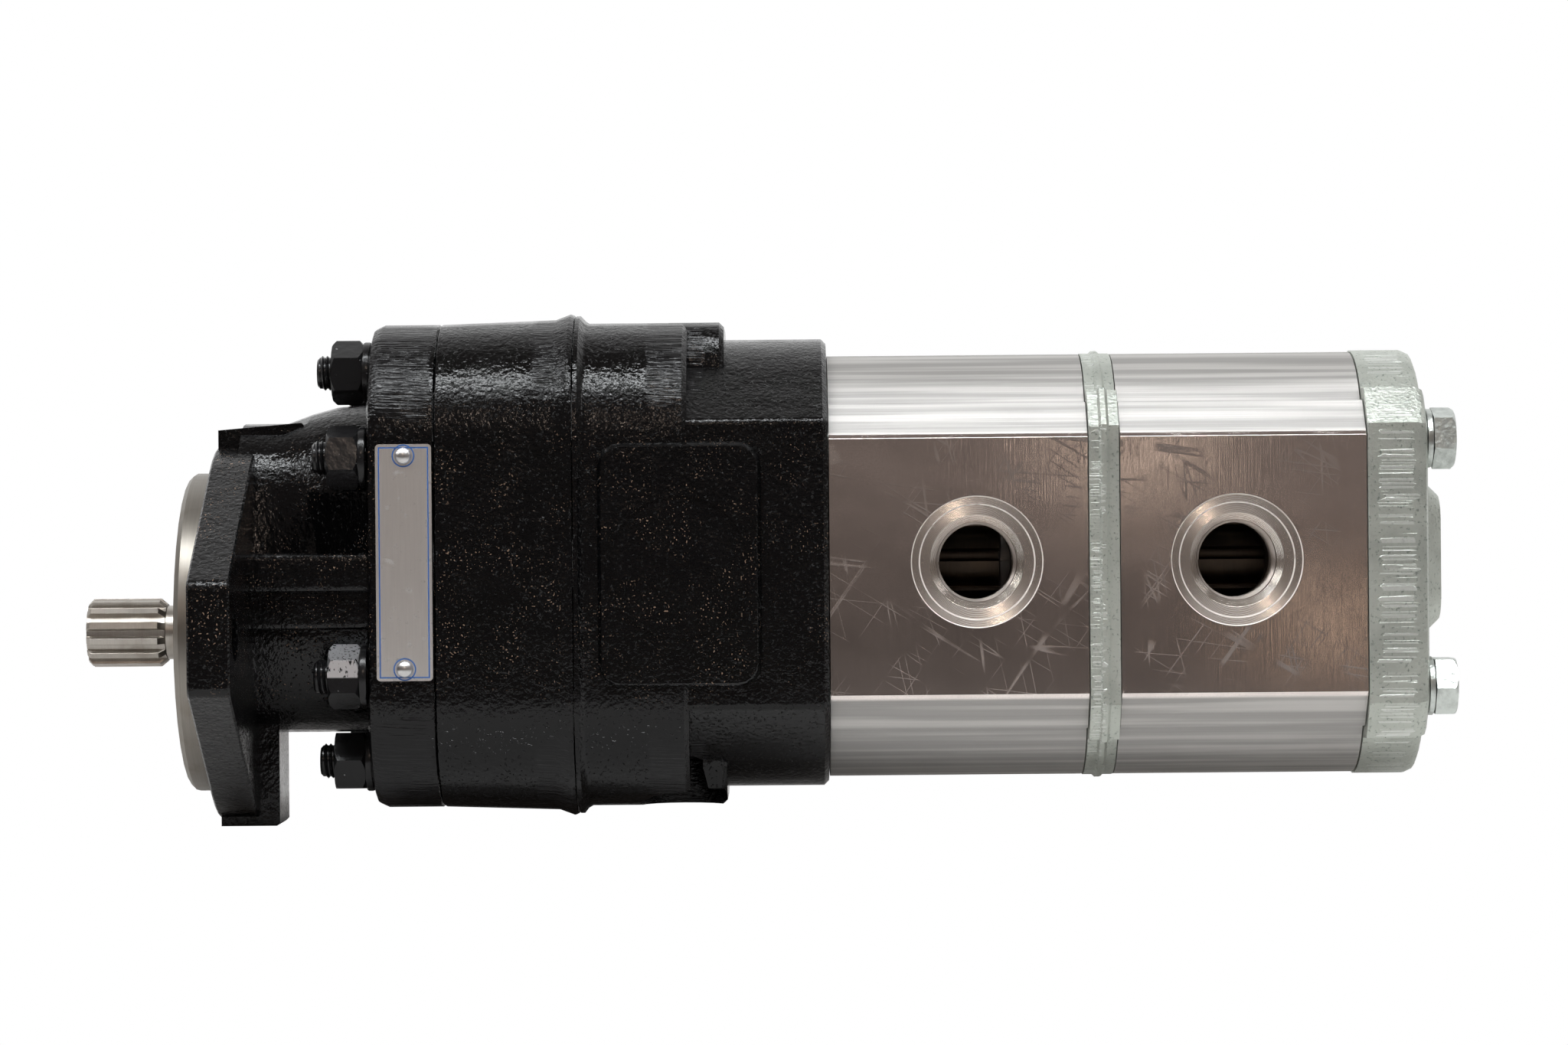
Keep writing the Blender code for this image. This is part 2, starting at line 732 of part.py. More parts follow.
def rounded_run(shape, x0, x1, edge0, edge1, grow=0.0, angles=ROUND_ANGLES):
    """Sections of a slab whose edges are rounded by edge0 at x0 and by edge1 at x1.

    The shape is a list of discs, or a function that gives the outline for a growth.
    """
    sections = [(x0, grow)]
    if edge0:
        sections = [(x0 + edge0 * (1 - math.cos(angle)), grow - edge0 * (1 - math.sin(angle)))
                    for angle in angles]
    if edge1:
        sections += [(x1 - edge1 * (1 - math.cos(angle)), grow - edge1 * (1 - math.sin(angle)))
                     for angle in reversed(angles)]
    else:
        sections.append((x1, grow))
    return [(x, shape(growth) if callable(shape) else hull(shape, growth))
            for x, growth in sections]


def groove(name, discs, face_x, inward):
    """A guide that cuts a face-seal groove, from a face into the piece behind it."""
    half = SEAL_GROOVE_WIDTH / 2
    x0, x1 = sorted((face_x - inward * OVERCUT, face_x + inward * SEAL_GROOVE_DEPTH))
    mesh = tube_mesh(name, hull(discs, half), hull(discs, -half), x0, x1)
    return add_object(name, mesh, guide=True)


def face_seal(name, discs, face_x, inward):
    """The square-section seal that lies in a groove."""
    half = SEAL_GROOVE_WIDTH / 2 - GAP
    x0, x1 = sorted((face_x, face_x + inward * (SEAL_GROOVE_DEPTH - GAP)))
    return add_object(name, tube_mesh(name, hull(discs, half), hull(discs, -half), x0, x1))


def cast_seal_discs():
    return rounded_box(
        CAST_SEAL_HALF_WIDTH, CAST_SEAL_HALF_HEIGHT, CAST_SEAL_CORNER, z=MID_HEIGHT, facets=4)


def profile_seal_discs():
    return [
        (0.0, 0.0, PROFILE_SEAL_RADIUS, 8),
        (0.0, CENTRE_DISTANCE, PROFILE_SEAL_RADIUS, 8),
    ]


def build_front_cover(iron):
    """Front cover: pilot, two-ear flange, neck round the bearings, and plate for the studs."""
    ear = EAR_REACH - EAR_CORNER
    ear_height = EAR_HALF_HEIGHT - EAR_CORNER
    flange = [
        (ear, -ear_height, EAR_CORNER, 3),
        (ear, ear_height, EAR_CORNER, 3),
        (0.0, 0.0, FLANGE_RADIUS, 8),
        (-ear, ear_height, EAR_CORNER, 3),
        (-ear, -ear_height, EAR_CORNER, 3),
        (0.0, 0.0, FLANGE_RADIUS, 8),
    ]
    cover = loft("front_cover", rounded_run(
        cast_discs(), X_PLATE, X_HOUSING - GAP, PLATE_EDGE, 0.0))
    flange_part = loft(
        "flange", rounded_run(
            flange, X_FLANGE, X_EAR_BACK, FLANGE_EDGE, FLANGE_EDGE, angles=CHAMFER_ANGLES),
        guide=True)
    pilot_root, neck_root, web_root = [
        X_FLANGE + FLANGE_THICKNESS * share for share in FLANGE_ROOT_SHARES]
    neck_end, web_end = [X_PLATE + PLATE_THICKNESS * share for share in PLATE_ROOT_SHARES]
    pilot = turned("pilot", [
        (X_PILOT, 0.0),
        (X_PILOT, PILOT_RADIUS - PILOT_EDGE),
        (X_PILOT + PILOT_EDGE, PILOT_RADIUS),
        (pilot_root, PILOT_RADIUS),
        (pilot_root, 0.0),
    ], guide=True)
    lug_low = -FLANGE_RADIUS - LUG_DROP
    lug = loft("lug", [
        (x, [(-CREST_HALF_WIDTH, low), (CREST_HALF_WIDTH, low),
             (CREST_HALF_WIDTH, 0.0), (-CREST_HALF_WIDTH, 0.0)])
        for x, low in (
            (X_FLANGE + FLANGE_EDGE, lug_low),
            (X_LUG_BACK - LUG_EDGE, lug_low),
            (X_LUG_BACK, lug_low + LUG_EDGE),
        )
    ], guide=True)

    def neck_outline(flare):
        return hull([
            (0.0, 0.0, NECK_LOW_RADIUS, 12),
            (0.0, CENTRE_DISTANCE, NECK_HIGH_RADIUS + flare, 12),
        ])

    flare_x0 = X_PLATE - NECK_FLARE_START
    flare_x1 = X_PLATE - NECK_FLARE
    stations = [(neck_root, 0.0), (flare_x0, 0.0)]
    for share in (1 / 3, 2 / 3):
        rise = math.sin(math.pi / 2 * share)
        stations.append((flare_x0 + (flare_x1 - flare_x0) * share, NECK_FLARE * rise))
    stations += [(flare_x1, NECK_FLARE), (neck_end, NECK_FLARE)]
    neck = loft("neck", [(x, neck_outline(flare)) for x, flare in stations], guide=True)

    crest_x1 = X_FLANGE + CREST_RUN
    crest_foot = CENTRE_DISTANCE
    crest = loft("crest", [
        (x, [(-CREST_HALF_WIDTH, crest_foot), (CREST_HALF_WIDTH, crest_foot),
             (CREST_HALF_WIDTH, top), (-CREST_HALF_WIDTH, top)])
        for x, top in (
            (X_FLANGE + FLANGE_EDGE, CREST_HEIGHT),
            (crest_x1, CREST_HEIGHT + CREST_RISE),
            (crest_x1 + CREST_RISE, crest_foot + NECK_HIGH_RADIUS - CREST_RISE),
        )
    ], guide=True)

    nut_room = NUT_CORNER_RADIUS + NUT_ROOM
    web_low = MID_HEIGHT - STUD_SIDE_HEIGHT + nut_room + WEB_STEP

    def web(name, half_width, low, high):
        discs = rounded_box(
            half_width, (high - low) / 2, WEB_EDGE, z=(high + low) / 2, facets=2)
        return prism(name, hull(discs), web_root, web_end, guide=True)

    gusset_top = MID_HEIGHT + STUD_SIDE_HEIGHT - nut_room
    gusset_foot = (WEB_SPLIT + WEB_TOP) / 2
    gussets = []
    for side in (-1, 1):
        outline = [
            (X_PLATE - GUSSET_RUN, 0.0),
            (X_PLATE - GUSSET_RUN, NECK_HIGH_RADIUS),
            (X_PLATE - GUSSET_RUN / 3, NECK_HIGH_RADIUS + GUSSET_RISE / 2),
            (X_PLATE + PLATE_EDGE, NECK_HIGH_RADIUS + GUSSET_RISE),
            (X_PLATE + PLATE_EDGE, 0.0),
        ]
        gussets.append(level_plate("gusset", outline, gusset_foot, gusset_top, side))
    join(
        cover, neck, lug, flange_part, crest,
        web("upper_web", WEB_HALF_WIDTH, WEB_SPLIT, WEB_TOP),
        web("lower_web", WEB_HALF_WIDTH - WEB_STEP, web_low, WEB_SPLIT + WEB_EDGE),
        *gussets, pilot,
    )

    bearing_x0 = X_HOUSING - GAP - BUSH_LENGTH - GAP
    seal_bore = SEAL_RADIUS + GAP
    ring_x0 = X_PILOT + RING_SETBACK
    ring_x1 = ring_x0 + RING_THICKNESS + 2 * GAP
    bore = turned("front_bore", [
        (X_PILOT - OVERCUT, 0.0),
        (X_PILOT - OVERCUT, seal_bore),
        (ring_x0, seal_bore),
        (ring_x0, seal_bore + RING_GROOVE_DEPTH),
        (ring_x1, seal_bore + RING_GROOVE_DEPTH),
        (ring_x1, seal_bore),
        (ring_x1 + SEAL_WIDTH + GAP, seal_bore),
        (ring_x1 + SEAL_WIDTH + GAP, BUSH_BORE_RADIUS + GAP),
        (bearing_x0, BUSH_BORE_RADIUS + GAP),
        (bearing_x0, BEARING_BORE_RADIUS),
        (X_HOUSING + OVERCUT, BEARING_BORE_RADIUS),
        (X_HOUSING + OVERCUT, 0.0),
    ], facets=BORE_FACETS, guide=True)
    cut(cover, [
        rod("driven_bearing_bore", bearing_x0, X_HOUSING + OVERCUT, BEARING_BORE_RADIUS,
            z=CENTRE_DISTANCE, facets=BORE_FACETS),
        bore,
        rods("flange_holes", [(-FLANGE_HOLE_OFFSET, 0.0), (FLANGE_HOLE_OFFSET, 0.0)],
             X_FLANGE - OVERCUT, X_EAR_BACK + OVERCUT, FLANGE_HOLE_RADIUS, MEDIUM),
        rods("front_stud_holes", stud_places(), X_PLATE - OVERCUT, X_HOUSING + OVERCUT,
             STUD_RADIUS + STUD_CLEARANCE),
        rivet_rods("rivet_holes", CAST_HALF_WIDTH - RIVET_LENGTH, CAST_HALF_WIDTH + OVERCUT),
    ])
    return dress(cover, iron, (X_FLANGE, 0.0, 0.0))


def build_gear_housing(iron):
    """Cast ring round the first pair of gears, with a slight draft up to its rear ridge."""
    x0 = X_HOUSING
    x1 = X_REAR - GAP
    ridge = HOUSING_DRAFT + RIDGE_HEIGHT
    housing = loft("gear_housing", [(x, hull(cast_discs(), grow)) for x, grow in (
        (x0, -SEAM_CHAMFER),
        (x0 + SEAM_CHAMFER, 0.0),
        (x1 - RIDGE_LENGTH - RIDGE_HEIGHT, HOUSING_DRAFT),
        (x1 - RIDGE_LENGTH / 3, ridge),
        (x1, ridge - SEAM_CHAMFER),
    )])
    pocket = hull(rounded_box(
        CHAMBER_POCKET_REACH, CHAMBER_POCKET_HALF_HEIGHT, CHAMBER_POCKET_HALF_HEIGHT / 2,
        z=MID_HEIGHT, facets=3))
    cut(
        housing,
        [
            prism("front_chamber", figure_eight(CHAMBER_RADIUS), x0 - OVERCUT, x1 + OVERCUT,
                  guide=True),
            rods("housing_stud_holes", stud_places(), x0 - OVERCUT, x1 + OVERCUT,
                 STUD_RADIUS + STUD_CLEARANCE),
            groove("front_seal_groove", cast_seal_discs(), x0, 1),
            groove("rear_seal_groove", cast_seal_discs(), x1, -1),
        ],
        prism("chamber_pockets", pocket, x0 + THRUST_PLATE, x1 + 2 * OVERCUT, guide=True),
    )
    return dress(housing, iron, (x0, 0.0, 0.0))


def build_rear_cover(iron):
    """Rear cover of the front section, which carries the two aluminium sections."""
    x0 = X_REAR
    x1 = X_BODY_1 - GAP
    ridge = HOUSING_DRAFT + RIDGE_HEIGHT
    shoulder = x0 + SHOULDER_LENGTH
    cover = loft("rear_cover", [(x, hull(cast_discs(), grow)) for x, grow in (
        (x0, ridge - SEAM_CHAMFER),
        (x0 + RIDGE_FALL / 3, ridge - SEAM_CHAMFER),
        (x0 + RIDGE_FALL * 2 / 3, ridge / 4),
        (x0 + RIDGE_FALL, 0.0),
        (shoulder - STEP_EDGE, 0.0),
        (shoulder, -STEP_EDGE),
    )])
    step = loft("step", rounded_run(
        step_discs(), shoulder - RIDGE_FALL, x1, 0.0, STEP_EDGE, angles=CHAMFER_ANGLES), guide=True)
    crown = loft("crown", rounded_run(
        rounded_box(CROWN_HALF_WIDTH, CAST_HALF_HEIGHT, CROWN_CORNER, z=MID_HEIGHT, facets=3),
        shoulder - 1.5 * RIDGE_FALL, x0 + CROWN_LENGTH, 0.0, STEP_EDGE, angles=CHAMFER_ANGLES),
        guide=True)
    pads = []
    for side in (-1, 1):
        discs = rounded_box(PAD_HALF_LENGTH, PAD_HALF_HEIGHT, PAD_CORNER, facets=4)
        face = CAST_HALF_WIDTH + PAD_RAISE
        sections = [(CAST_HALF_WIDTH - PAD_THICKNESS, hull(discs, PAD_DRAFT)),
                    (face - PAD_DRAFT, hull(discs, 0.0)),
                    (face, hull(discs, -PAD_DRAFT))]
        pad = loft("pad", sections, guide=True)
        pads.append(turn_to_side(pad, x0 + PAD_SETBACK, MID_HEIGHT, side))
    join(cover, step, crown, *pads)
    ring_face = CAST_HALF_WIDTH + PAD_RAISE
    ring = turned("pad_ring", [
        (ring_face - PAD_RING_HEIGHT, PAD_RING_RADIUS - PAD_RING_WIDTH),
        (ring_face + PAD_RING_HEIGHT, PAD_RING_RADIUS - PAD_RING_WIDTH),
        (ring_face + PAD_RING_HEIGHT, PAD_RING_RADIUS),
        (ring_face - PAD_RING_HEIGHT, PAD_RING_RADIUS),
    ], facets=PORT_FACETS, guide=True)
    join(cover, turn_to_side(ring, x0 + PAD_SETBACK, MID_HEIGHT, -1))

    bearing_x1 = x0 + BUSH_LENGTH + GAP
    front = x0 - OVERCUT
    port_x = x0 + PAD_SETBACK
    pad_face = CAST_HALF_WIDTH + PAD_RAISE
    inlet = rod("main_inlet", INLET_PASSAGE_OFFSET - INLET_PASSAGE_RADIUS, pad_face + OVERCUT,
                MAIN_INLET_RADIUS, facets=MEDIUM)
    bolt_places = [(y * PAD_BOLT_HALF_LENGTH, z * PAD_BOLT_HALF_HEIGHT)
                   for y, z in ((1, 1), (-1, 1), (-1, -1), (1, -1))]
    pad_bolts = rods("pad_bolt_holes", bolt_places, pad_face - PAD_BOLT_DEPTH,
                     pad_face + OVERCUT, PAD_BOLT_RADIUS)
    outlet_x = x1 - MAIN_OUTLET_SETBACK
    floor = CAST_HALF_HEIGHT - MID_HEIGHT
    outlet = turned("main_outlet", [
        (-MID_HEIGHT - OUTLET_PASSAGE_RADIUS, 0.0),
        (-MID_HEIGHT - OUTLET_PASSAGE_RADIUS, OUTLET_PASSAGE_RADIUS),
        (floor - MAIN_OUTLET_FACE_DEPTH - MAIN_OUTLET_THREAD_DEPTH, OUTLET_PASSAGE_RADIUS),
        (floor - MAIN_OUTLET_FACE_DEPTH - MAIN_OUTLET_THREAD_DEPTH, MAIN_OUTLET_THREAD_RADIUS),
        (floor - MAIN_OUTLET_FACE_DEPTH, MAIN_OUTLET_THREAD_RADIUS),
        (floor - MAIN_OUTLET_FACE_DEPTH, MAIN_OUTLET_FACE_RADIUS),
        (floor + OVERCUT, MAIN_OUTLET_FACE_RADIUS),
        (floor + OVERCUT, 0.0),
    ], facets=MEDIUM, guide=True)
    outlet.data.transform(
        Matrix.Translation((outlet_x, -MAIN_OUTLET_OFFSET, 0.0))
        @ Matrix.Rotation(math.radians(90.0), 4, "Y"))
    drive_bore = turned("drive_bore", [
        (front, 0.0),
        (front, BEARING_BORE_RADIUS),
        (bearing_x1, BEARING_BORE_RADIUS),
        (bearing_x1, COUPLING_BORE_RADIUS),
        (x1 + OVERCUT, COUPLING_BORE_RADIUS),
        (x1 + OVERCUT, 0.0),
    ], facets=BORE_FACETS, guide=True)
    cut(
        cover,
        [
            drive_bore,
            rod("driven_bore", front, bearing_x1, BEARING_BORE_RADIUS, z=CENTRE_DISTANCE,
                facets=BORE_FACETS),
            rod("inlet_passage", front, port_x, INLET_PASSAGE_RADIUS, INLET_PASSAGE_OFFSET,
                MID_HEIGHT, MEDIUM),
            rod("outlet_passage", front, outlet_x, OUTLET_PASSAGE_RADIUS, -MAIN_OUTLET_OFFSET,
                MID_HEIGHT, MEDIUM),
            rods("rear_stud_holes", stud_places(), front, x0 + STUD_ENGAGEMENT + GAP,
                 STUD_RADIUS + STUD_CLEARANCE),
            rods("tie_threads", tie_places(), x1 - TIE_ENGAGEMENT - GAP, x1 + OVERCUT,
                 TIE_RADIUS + TIE_CLEARANCE),
        ],
        [
            turn_to_side(inlet, port_x, MID_HEIGHT, 1),
            turn_to_side(pad_bolts, port_x, MID_HEIGHT, 1),
            outlet,
        ],
    )
    return dress(cover, iron, (x0, 0.0, 0.0))


def port_cutter(name, x, side, face_radius, face_depth, seat_radius, seat_depth,
                thread_radius, thread_depth, bore_radius, ring=None):
    """A guide that cuts one port, from outside the flat side down to the gear chamber."""
    flat = PROFILE_HALF_WIDTH
    waist = math.sqrt(CHAMBER_RADIUS ** 2 - MID_HEIGHT ** 2)
    profile = [
        (PORT_REACH * waist, 0.0),
        (PORT_REACH * waist, bore_radius),
        (flat - thread_depth, bore_radius),
        (flat - thread_depth, thread_radius),
        (flat - seat_depth, thread_radius),
    ]
    if ring:
        ring_radius, ring_depth = ring
        profile += [(flat - ring_depth, seat_radius), (flat - ring_depth, ring_radius),
                    (flat - face_depth, ring_radius)]
    else:
        profile.append((flat - face_depth, seat_radius))
    profile += [(flat - face_depth, face_radius), (flat + OVERCUT, face_radius),
                (flat + OVERCUT, 0.0)]
    return turn_to_side(turned(name, profile, PORT_FACETS, guide=True), x, MID_HEIGHT, side)


def build_body(name, x0, length, port_offset, aluminium):
    """One extruded aluminium body, with its gear chamber, two ports and tie-bolt holes."""
    x1 = x0 + length - GAP
    body = prism(name, lobed_outline(), x0, x1)
    outlet = port_cutter(
        name + "_outlet", x0 + port_offset, -1, OUTLET_FACE_RADIUS, OUTLET_FACE_DEPTH,
        OUTLET_SEAT_RADIUS, OUTLET_SEAT_DEPTH, OUTLET_THREAD_RADIUS, OUTLET_THREAD_DEPTH,
        OUTLET_BORE_RADIUS, ring=(OUTLET_RING_RADIUS, OUTLET_RING_DEPTH))
    inlet = port_cutter(
        name + "_inlet", x0 + port_offset, 1, INLET_FACE_RADIUS, INLET_FACE_DEPTH,
        INLET_SEAT_RADIUS, INLET_SEAT_DEPTH, INLET_THREAD_RADIUS, INLET_THREAD_DEPTH,
        INLET_BORE_RADIUS)
    cut(
        body,
        [
            prism(name + "_chamber", figure_eight(CHAMBER_RADIUS), x0 - OVERCUT, x1 + OVERCUT,
                  guide=True),
            rods(name + "_tie_holes", tie_places(), x0 - OVERCUT, x1 + OVERCUT,
                 TIE_RADIUS + TIE_CLEARANCE),
            groove(name + "_front_groove", profile_seal_discs(), x0, 1),
            groove(name + "_rear_groove", profile_seal_discs(), x1, -1),
        ],
        [outlet, inlet],
    )
    return dress(body, aluminium, (x0, 0.0, 0.0))


def build_spacer(plated):
    """Plate between the two aluminium bodies, with the parting line of its casting."""
    x0 = X_SPACER
    x1 = X_BODY_2 - GAP
    middle = (x0 + x1) / 2
    half = SPACER_RIDGE_WIDTH / 2
    ridge = SPACER_GROWTH + SPACER_RIDGE_HEIGHT
    spacer = loft("spacer_plate", [(x, cast_lobed_outline(grow)) for x, grow in (
        (x0, SPACER_GROWTH),
        (middle - 2 * half, SPACER_GROWTH),
        (middle - half, ridge),
        (middle + half, ridge),
        (middle + 2 * half, SPACER_GROWTH),
        (x1, SPACER_GROWTH),
    )])
    cut(spacer, [
        rod("spacer_bore", x0 - OVERCUT, x1 + OVERCUT, COUPLING_BORE_RADIUS, facets=BORE_FACETS),
        rods("spacer_tie_holes", tie_places(), x0 - OVERCUT, x1 + OVERCUT,
             TIE_RADIUS + TIE_CLEARANCE),
    ])
    return dress(spacer, plated, (x0, 0.0, 0.0))


def build_end_cover(plated):
    """Cast cover of the last section, with rounded rear edges and a low boss."""
    cover = loft("end_cover", rounded_run(
        cast_lobed_outline, X_END, X_END_FACE, 0.0, END_COVER_EDGE, END_COVER_GROWTH))
    discs = rounded_box(
        END_BOSS_HALF_WIDTH, END_BOSS_HALF_HEIGHT, END_BOSS_CORNER, z=MID_HEIGHT, facets=4)
    top = X_END_FACE + END_BOSS_HEIGHT
    boss = loft("end_boss", [(x, hull(discs, grow)) for x, grow in (
        (X_END_FACE - END_COVER_EDGE, END_BOSS_SLOPE),
        (X_END_FACE, END_BOSS_SLOPE),
        (top - END_BOSS_EDGE, 0.0),
        (top, -END_BOSS_EDGE),
    )], guide=True)
    join(cover, boss)
    cut(cover, rods("end_tie_holes", tie_places(), X_END - OVERCUT, X_END_FACE + OVERCUT,
                    TIE_RADIUS + TIE_CLEARANCE))
    return dress(cover, plated, (X_END, 0.0, 0.0))


def build_front_gears(steel, drive_axis, driven_axis):
    """The splined drive shaft with its gear, and the gear that it turns."""
    gear_x0 = X_HOUSING + THRUST_PLATE + GAP
    gear_x1 = X_REAR - GAP - THRUST_PLATE - GAP
    journal_x0 = X_HOUSING - GAP - BUSH_LENGTH
    journal_x1 = X_REAR + BUSH_LENGTH
    relief_x1 = SPLINE_LENGTH + RELIEF_LENGTH
    drive = prism("drive_shaft", gear_outline(math.pi / 2), gear_x0, gear_x1)
    shaft = turned("shaft", [
        (SPLINE_LENGTH - SPLINE_RUN_OUT, 0.0),
        (SPLINE_LENGTH - SPLINE_RUN_OUT, RELIEF_RADIUS),
        (relief_x1, RELIEF_RADIUS),
        (relief_x1 + SHAFT_CHAMFER, SEAL_LAND_RADIUS - SHAFT_CHAMFER),
        (relief_x1 + 2 * SHAFT_CHAMFER, SEAL_LAND_RADIUS),
        (journal_x0 - SHAFT_CHAMFER, SEAL_LAND_RADIUS),
        (journal_x0, FRONT_JOURNAL_RADIUS),
        (journal_x1, FRONT_JOURNAL_RADIUS),
        (journal_x1 + SHAFT_CHAMFER, COUPLING_RADIUS - SHAFT_CHAMFER),
        (X_COUPLING_1 - COUPLING_LENGTH / 2 - GAP, COUPLING_RADIUS - SHAFT_CHAMFER),
        (X_COUPLING_1 - COUPLING_LENGTH / 2 - GAP, 0.0),
    ], facets=BORE_FACETS, guide=True)
    spline = loft("spline", [
        (x, toothed(SPLINE_TEETH, SPLINE_TIP_RADIUS, SPLINE_ROOT_RADIUS, SPLINE_TOOTH_SHARE, limit))
        for x, limit in (
            (0.0, SPLINE_TIP_RADIUS - SPLINE_CHAMFER),
            (SPLINE_CHAMFER, SPLINE_TIP_RADIUS),
            (SPLINE_LENGTH - SPLINE_RUN_OUT, SPLINE_TIP_RADIUS),
            (SPLINE_LENGTH, SPLINE_ROOT_RADIUS),
        )
    ], guide=True)
    teeth = toothed(STUB_TEETH, STUB_TIP_RADIUS, STUB_ROOT_RADIUS, STUB_TOOTH_SHARE)
    stub = prism("front_stub", teeth, X_COUPLING_1 - COUPLING_LENGTH / 2 - 2 * GAP,
                 X_COUPLING_1 - GAP, guide=True)
    join(drive, shaft, spline, stub)
    dress(drive, steel, (0.0, 0.0, 0.0), drive_axis)

    driven = prism("front_driven_gear", driven_outline(), gear_x0, gear_x1)
    join(driven, turned("front_driven_journals", [
        (journal_x0, 0.0),
        (journal_x0, FRONT_JOURNAL_RADIUS - SHAFT_CHAMFER),
        (journal_x0 + SHAFT_CHAMFER, FRONT_JOURNAL_RADIUS),
        (journal_x1 - SHAFT_CHAMFER, FRONT_JOURNAL_RADIUS),
        (journal_x1, FRONT_JOURNAL_RADIUS - SHAFT_CHAMFER),
        (journal_x1, 0.0),
    ], facets=BORE_FACETS, z=CENTRE_DISTANCE, guide=True))
    dress(driven, steel, (gear_x0, 0.0, CENTRE_DISTANCE), driven_axis)


def driven_outline():
    """Outline of a driven gear, turned so that a gap between teeth meets the drive gear."""
    return shifted(gear_outline(-math.pi / 2 + math.pi / GEAR_TEETH), z=CENTRE_DISTANCE)


def section_stations(x0, length, gear_width):
    """Ends of the front block, the gears and the rear block of an aluminium section."""
    x1 = x0 + length - GAP
    block = (x1 - x0 - gear_width - 2 * GAP) / 2
    gear_x0 = x0 + block + GAP
    gear_x1 = gear_x0 + gear_width
    return x0, x0 + block, gear_x0, gear_x1, gear_x1 + GAP, x1


def build_section_gears(number, stations, stub_x0, stub_x1, steel, drive_axis, driven_axis):
    """Drive and driven gear of an aluminium section; a stub end of None has no spline."""
    front, _, gear_x0, gear_x1, _, rear = stations
    radius = REAR_JOURNAL_RADIUS
    drive = prism(f"drive_gear_{number}", gear_outline(math.pi / 2), gear_x0, gear_x1)
    journals = turned(f"drive_journals_{number}", [
        (front, 0.0),
        (front, radius - SHAFT_CHAMFER),
        (front + SHAFT_CHAMFER, radius),
        (rear - SHAFT_CHAMFER, radius),
        (rear, radius - SHAFT_CHAMFER),
        (rear, 0.0),
    ], facets=JOURNAL_FACETS, guide=True)
    teeth = toothed(STUB_TEETH, STUB_TIP_RADIUS, STUB_ROOT_RADIUS, STUB_TOOTH_SHARE)
    join(drive, journals, prism(f"front_stub_{number}", teeth, stub_x0, front + GAP, guide=True))
    if stub_x1 is not None:
        join(drive, prism(f"rear_stub_{number}", teeth, rear - GAP, stub_x1, guide=True))
    dress(drive, steel, (gear_x0, 0.0, 0.0), drive_axis)

    driven = prism(f"driven_gear_{number}", driven_outline(), gear_x0, gear_x1)
    join(driven, turned(f"driven_journals_{number}", [
        (front + GAP, 0.0),
        (front + GAP, radius - SHAFT_CHAMFER),
        (front + GAP + SHAFT_CHAMFER, radius),
        (rear - GAP - SHAFT_CHAMFER, radius),
        (rear - GAP, radius - SHAFT_CHAMFER),
        (rear - GAP, 0.0),
    ], facets=JOURNAL_FACETS, z=CENTRE_DISTANCE, guide=True))
    dress(driven, steel, (gear_x0, 0.0, CENTRE_DISTANCE), driven_axis)


def bored_plate(name, x0, x1, bore_radius, material):
    """A figure-eight plate or block that lies in a gear chamber, bored for both journals."""
    plate = prism(name, figure_eight(CHAMBER_RADIUS - GAP), x0, x1)
    cut(plate, rods(name + "_bores", [(0.0, 0.0), (0.0, CENTRE_DISTANCE)],
                    x0 - OVERCUT, x1 + OVERCUT, bore_radius, JOURNAL_FACETS))
    return dress(plate, material, (x0, 0.0, 0.0))


def build_bushes(bronze):
    for place, x0 in (("front", X_HOUSING - GAP - BUSH_LENGTH), ("rear", X_REAR)):
        for gear, z in (("drive", 0.0), ("driven", CENTRE_DISTANCE)):
            name = f"{place}_{gear}_bush"
            mesh = tube_mesh(name, circle(BUSH_RADIUS, z=z, facets=BORE_FACETS),
                             circle(BUSH_BORE_RADIUS, z=z, facets=BORE_FACETS), x0, x0 + BUSH_LENGTH)
            dress(add_object(name, mesh), bronze, (x0, 0.0, z))


def build_couplings(steel, drive_axis):
    """Sleeves with an internal spline, which pass the drive from one section to the next."""
    spacer_room = SPACER_THICKNESS - 3 * GAP
    places = ((X_COUPLING_1, COUPLING_LENGTH), (X_COUPLING_2 - GAP / 2, spacer_room))
    for number, (x, length) in enumerate(places, start=1):
        name = f"coupling_{number}"
        x0 = x - length / 2
        sleeve = rod(name, x0, x0 + length, COUPLING_RADIUS, facets=BORE_FACETS, guide=False)
        teeth = toothed(STUB_TEETH, STUB_TIP_RADIUS, STUB_ROOT_RADIUS, STUB_TOOTH_SHARE, grow=GAP)
        cut(sleeve, prism(name + "_spline", teeth, x0 - OVERCUT, x0 + length + OVERCUT, guide=True))
        dress(sleeve, steel, (x0, 0.0, 0.0), drive_axis)


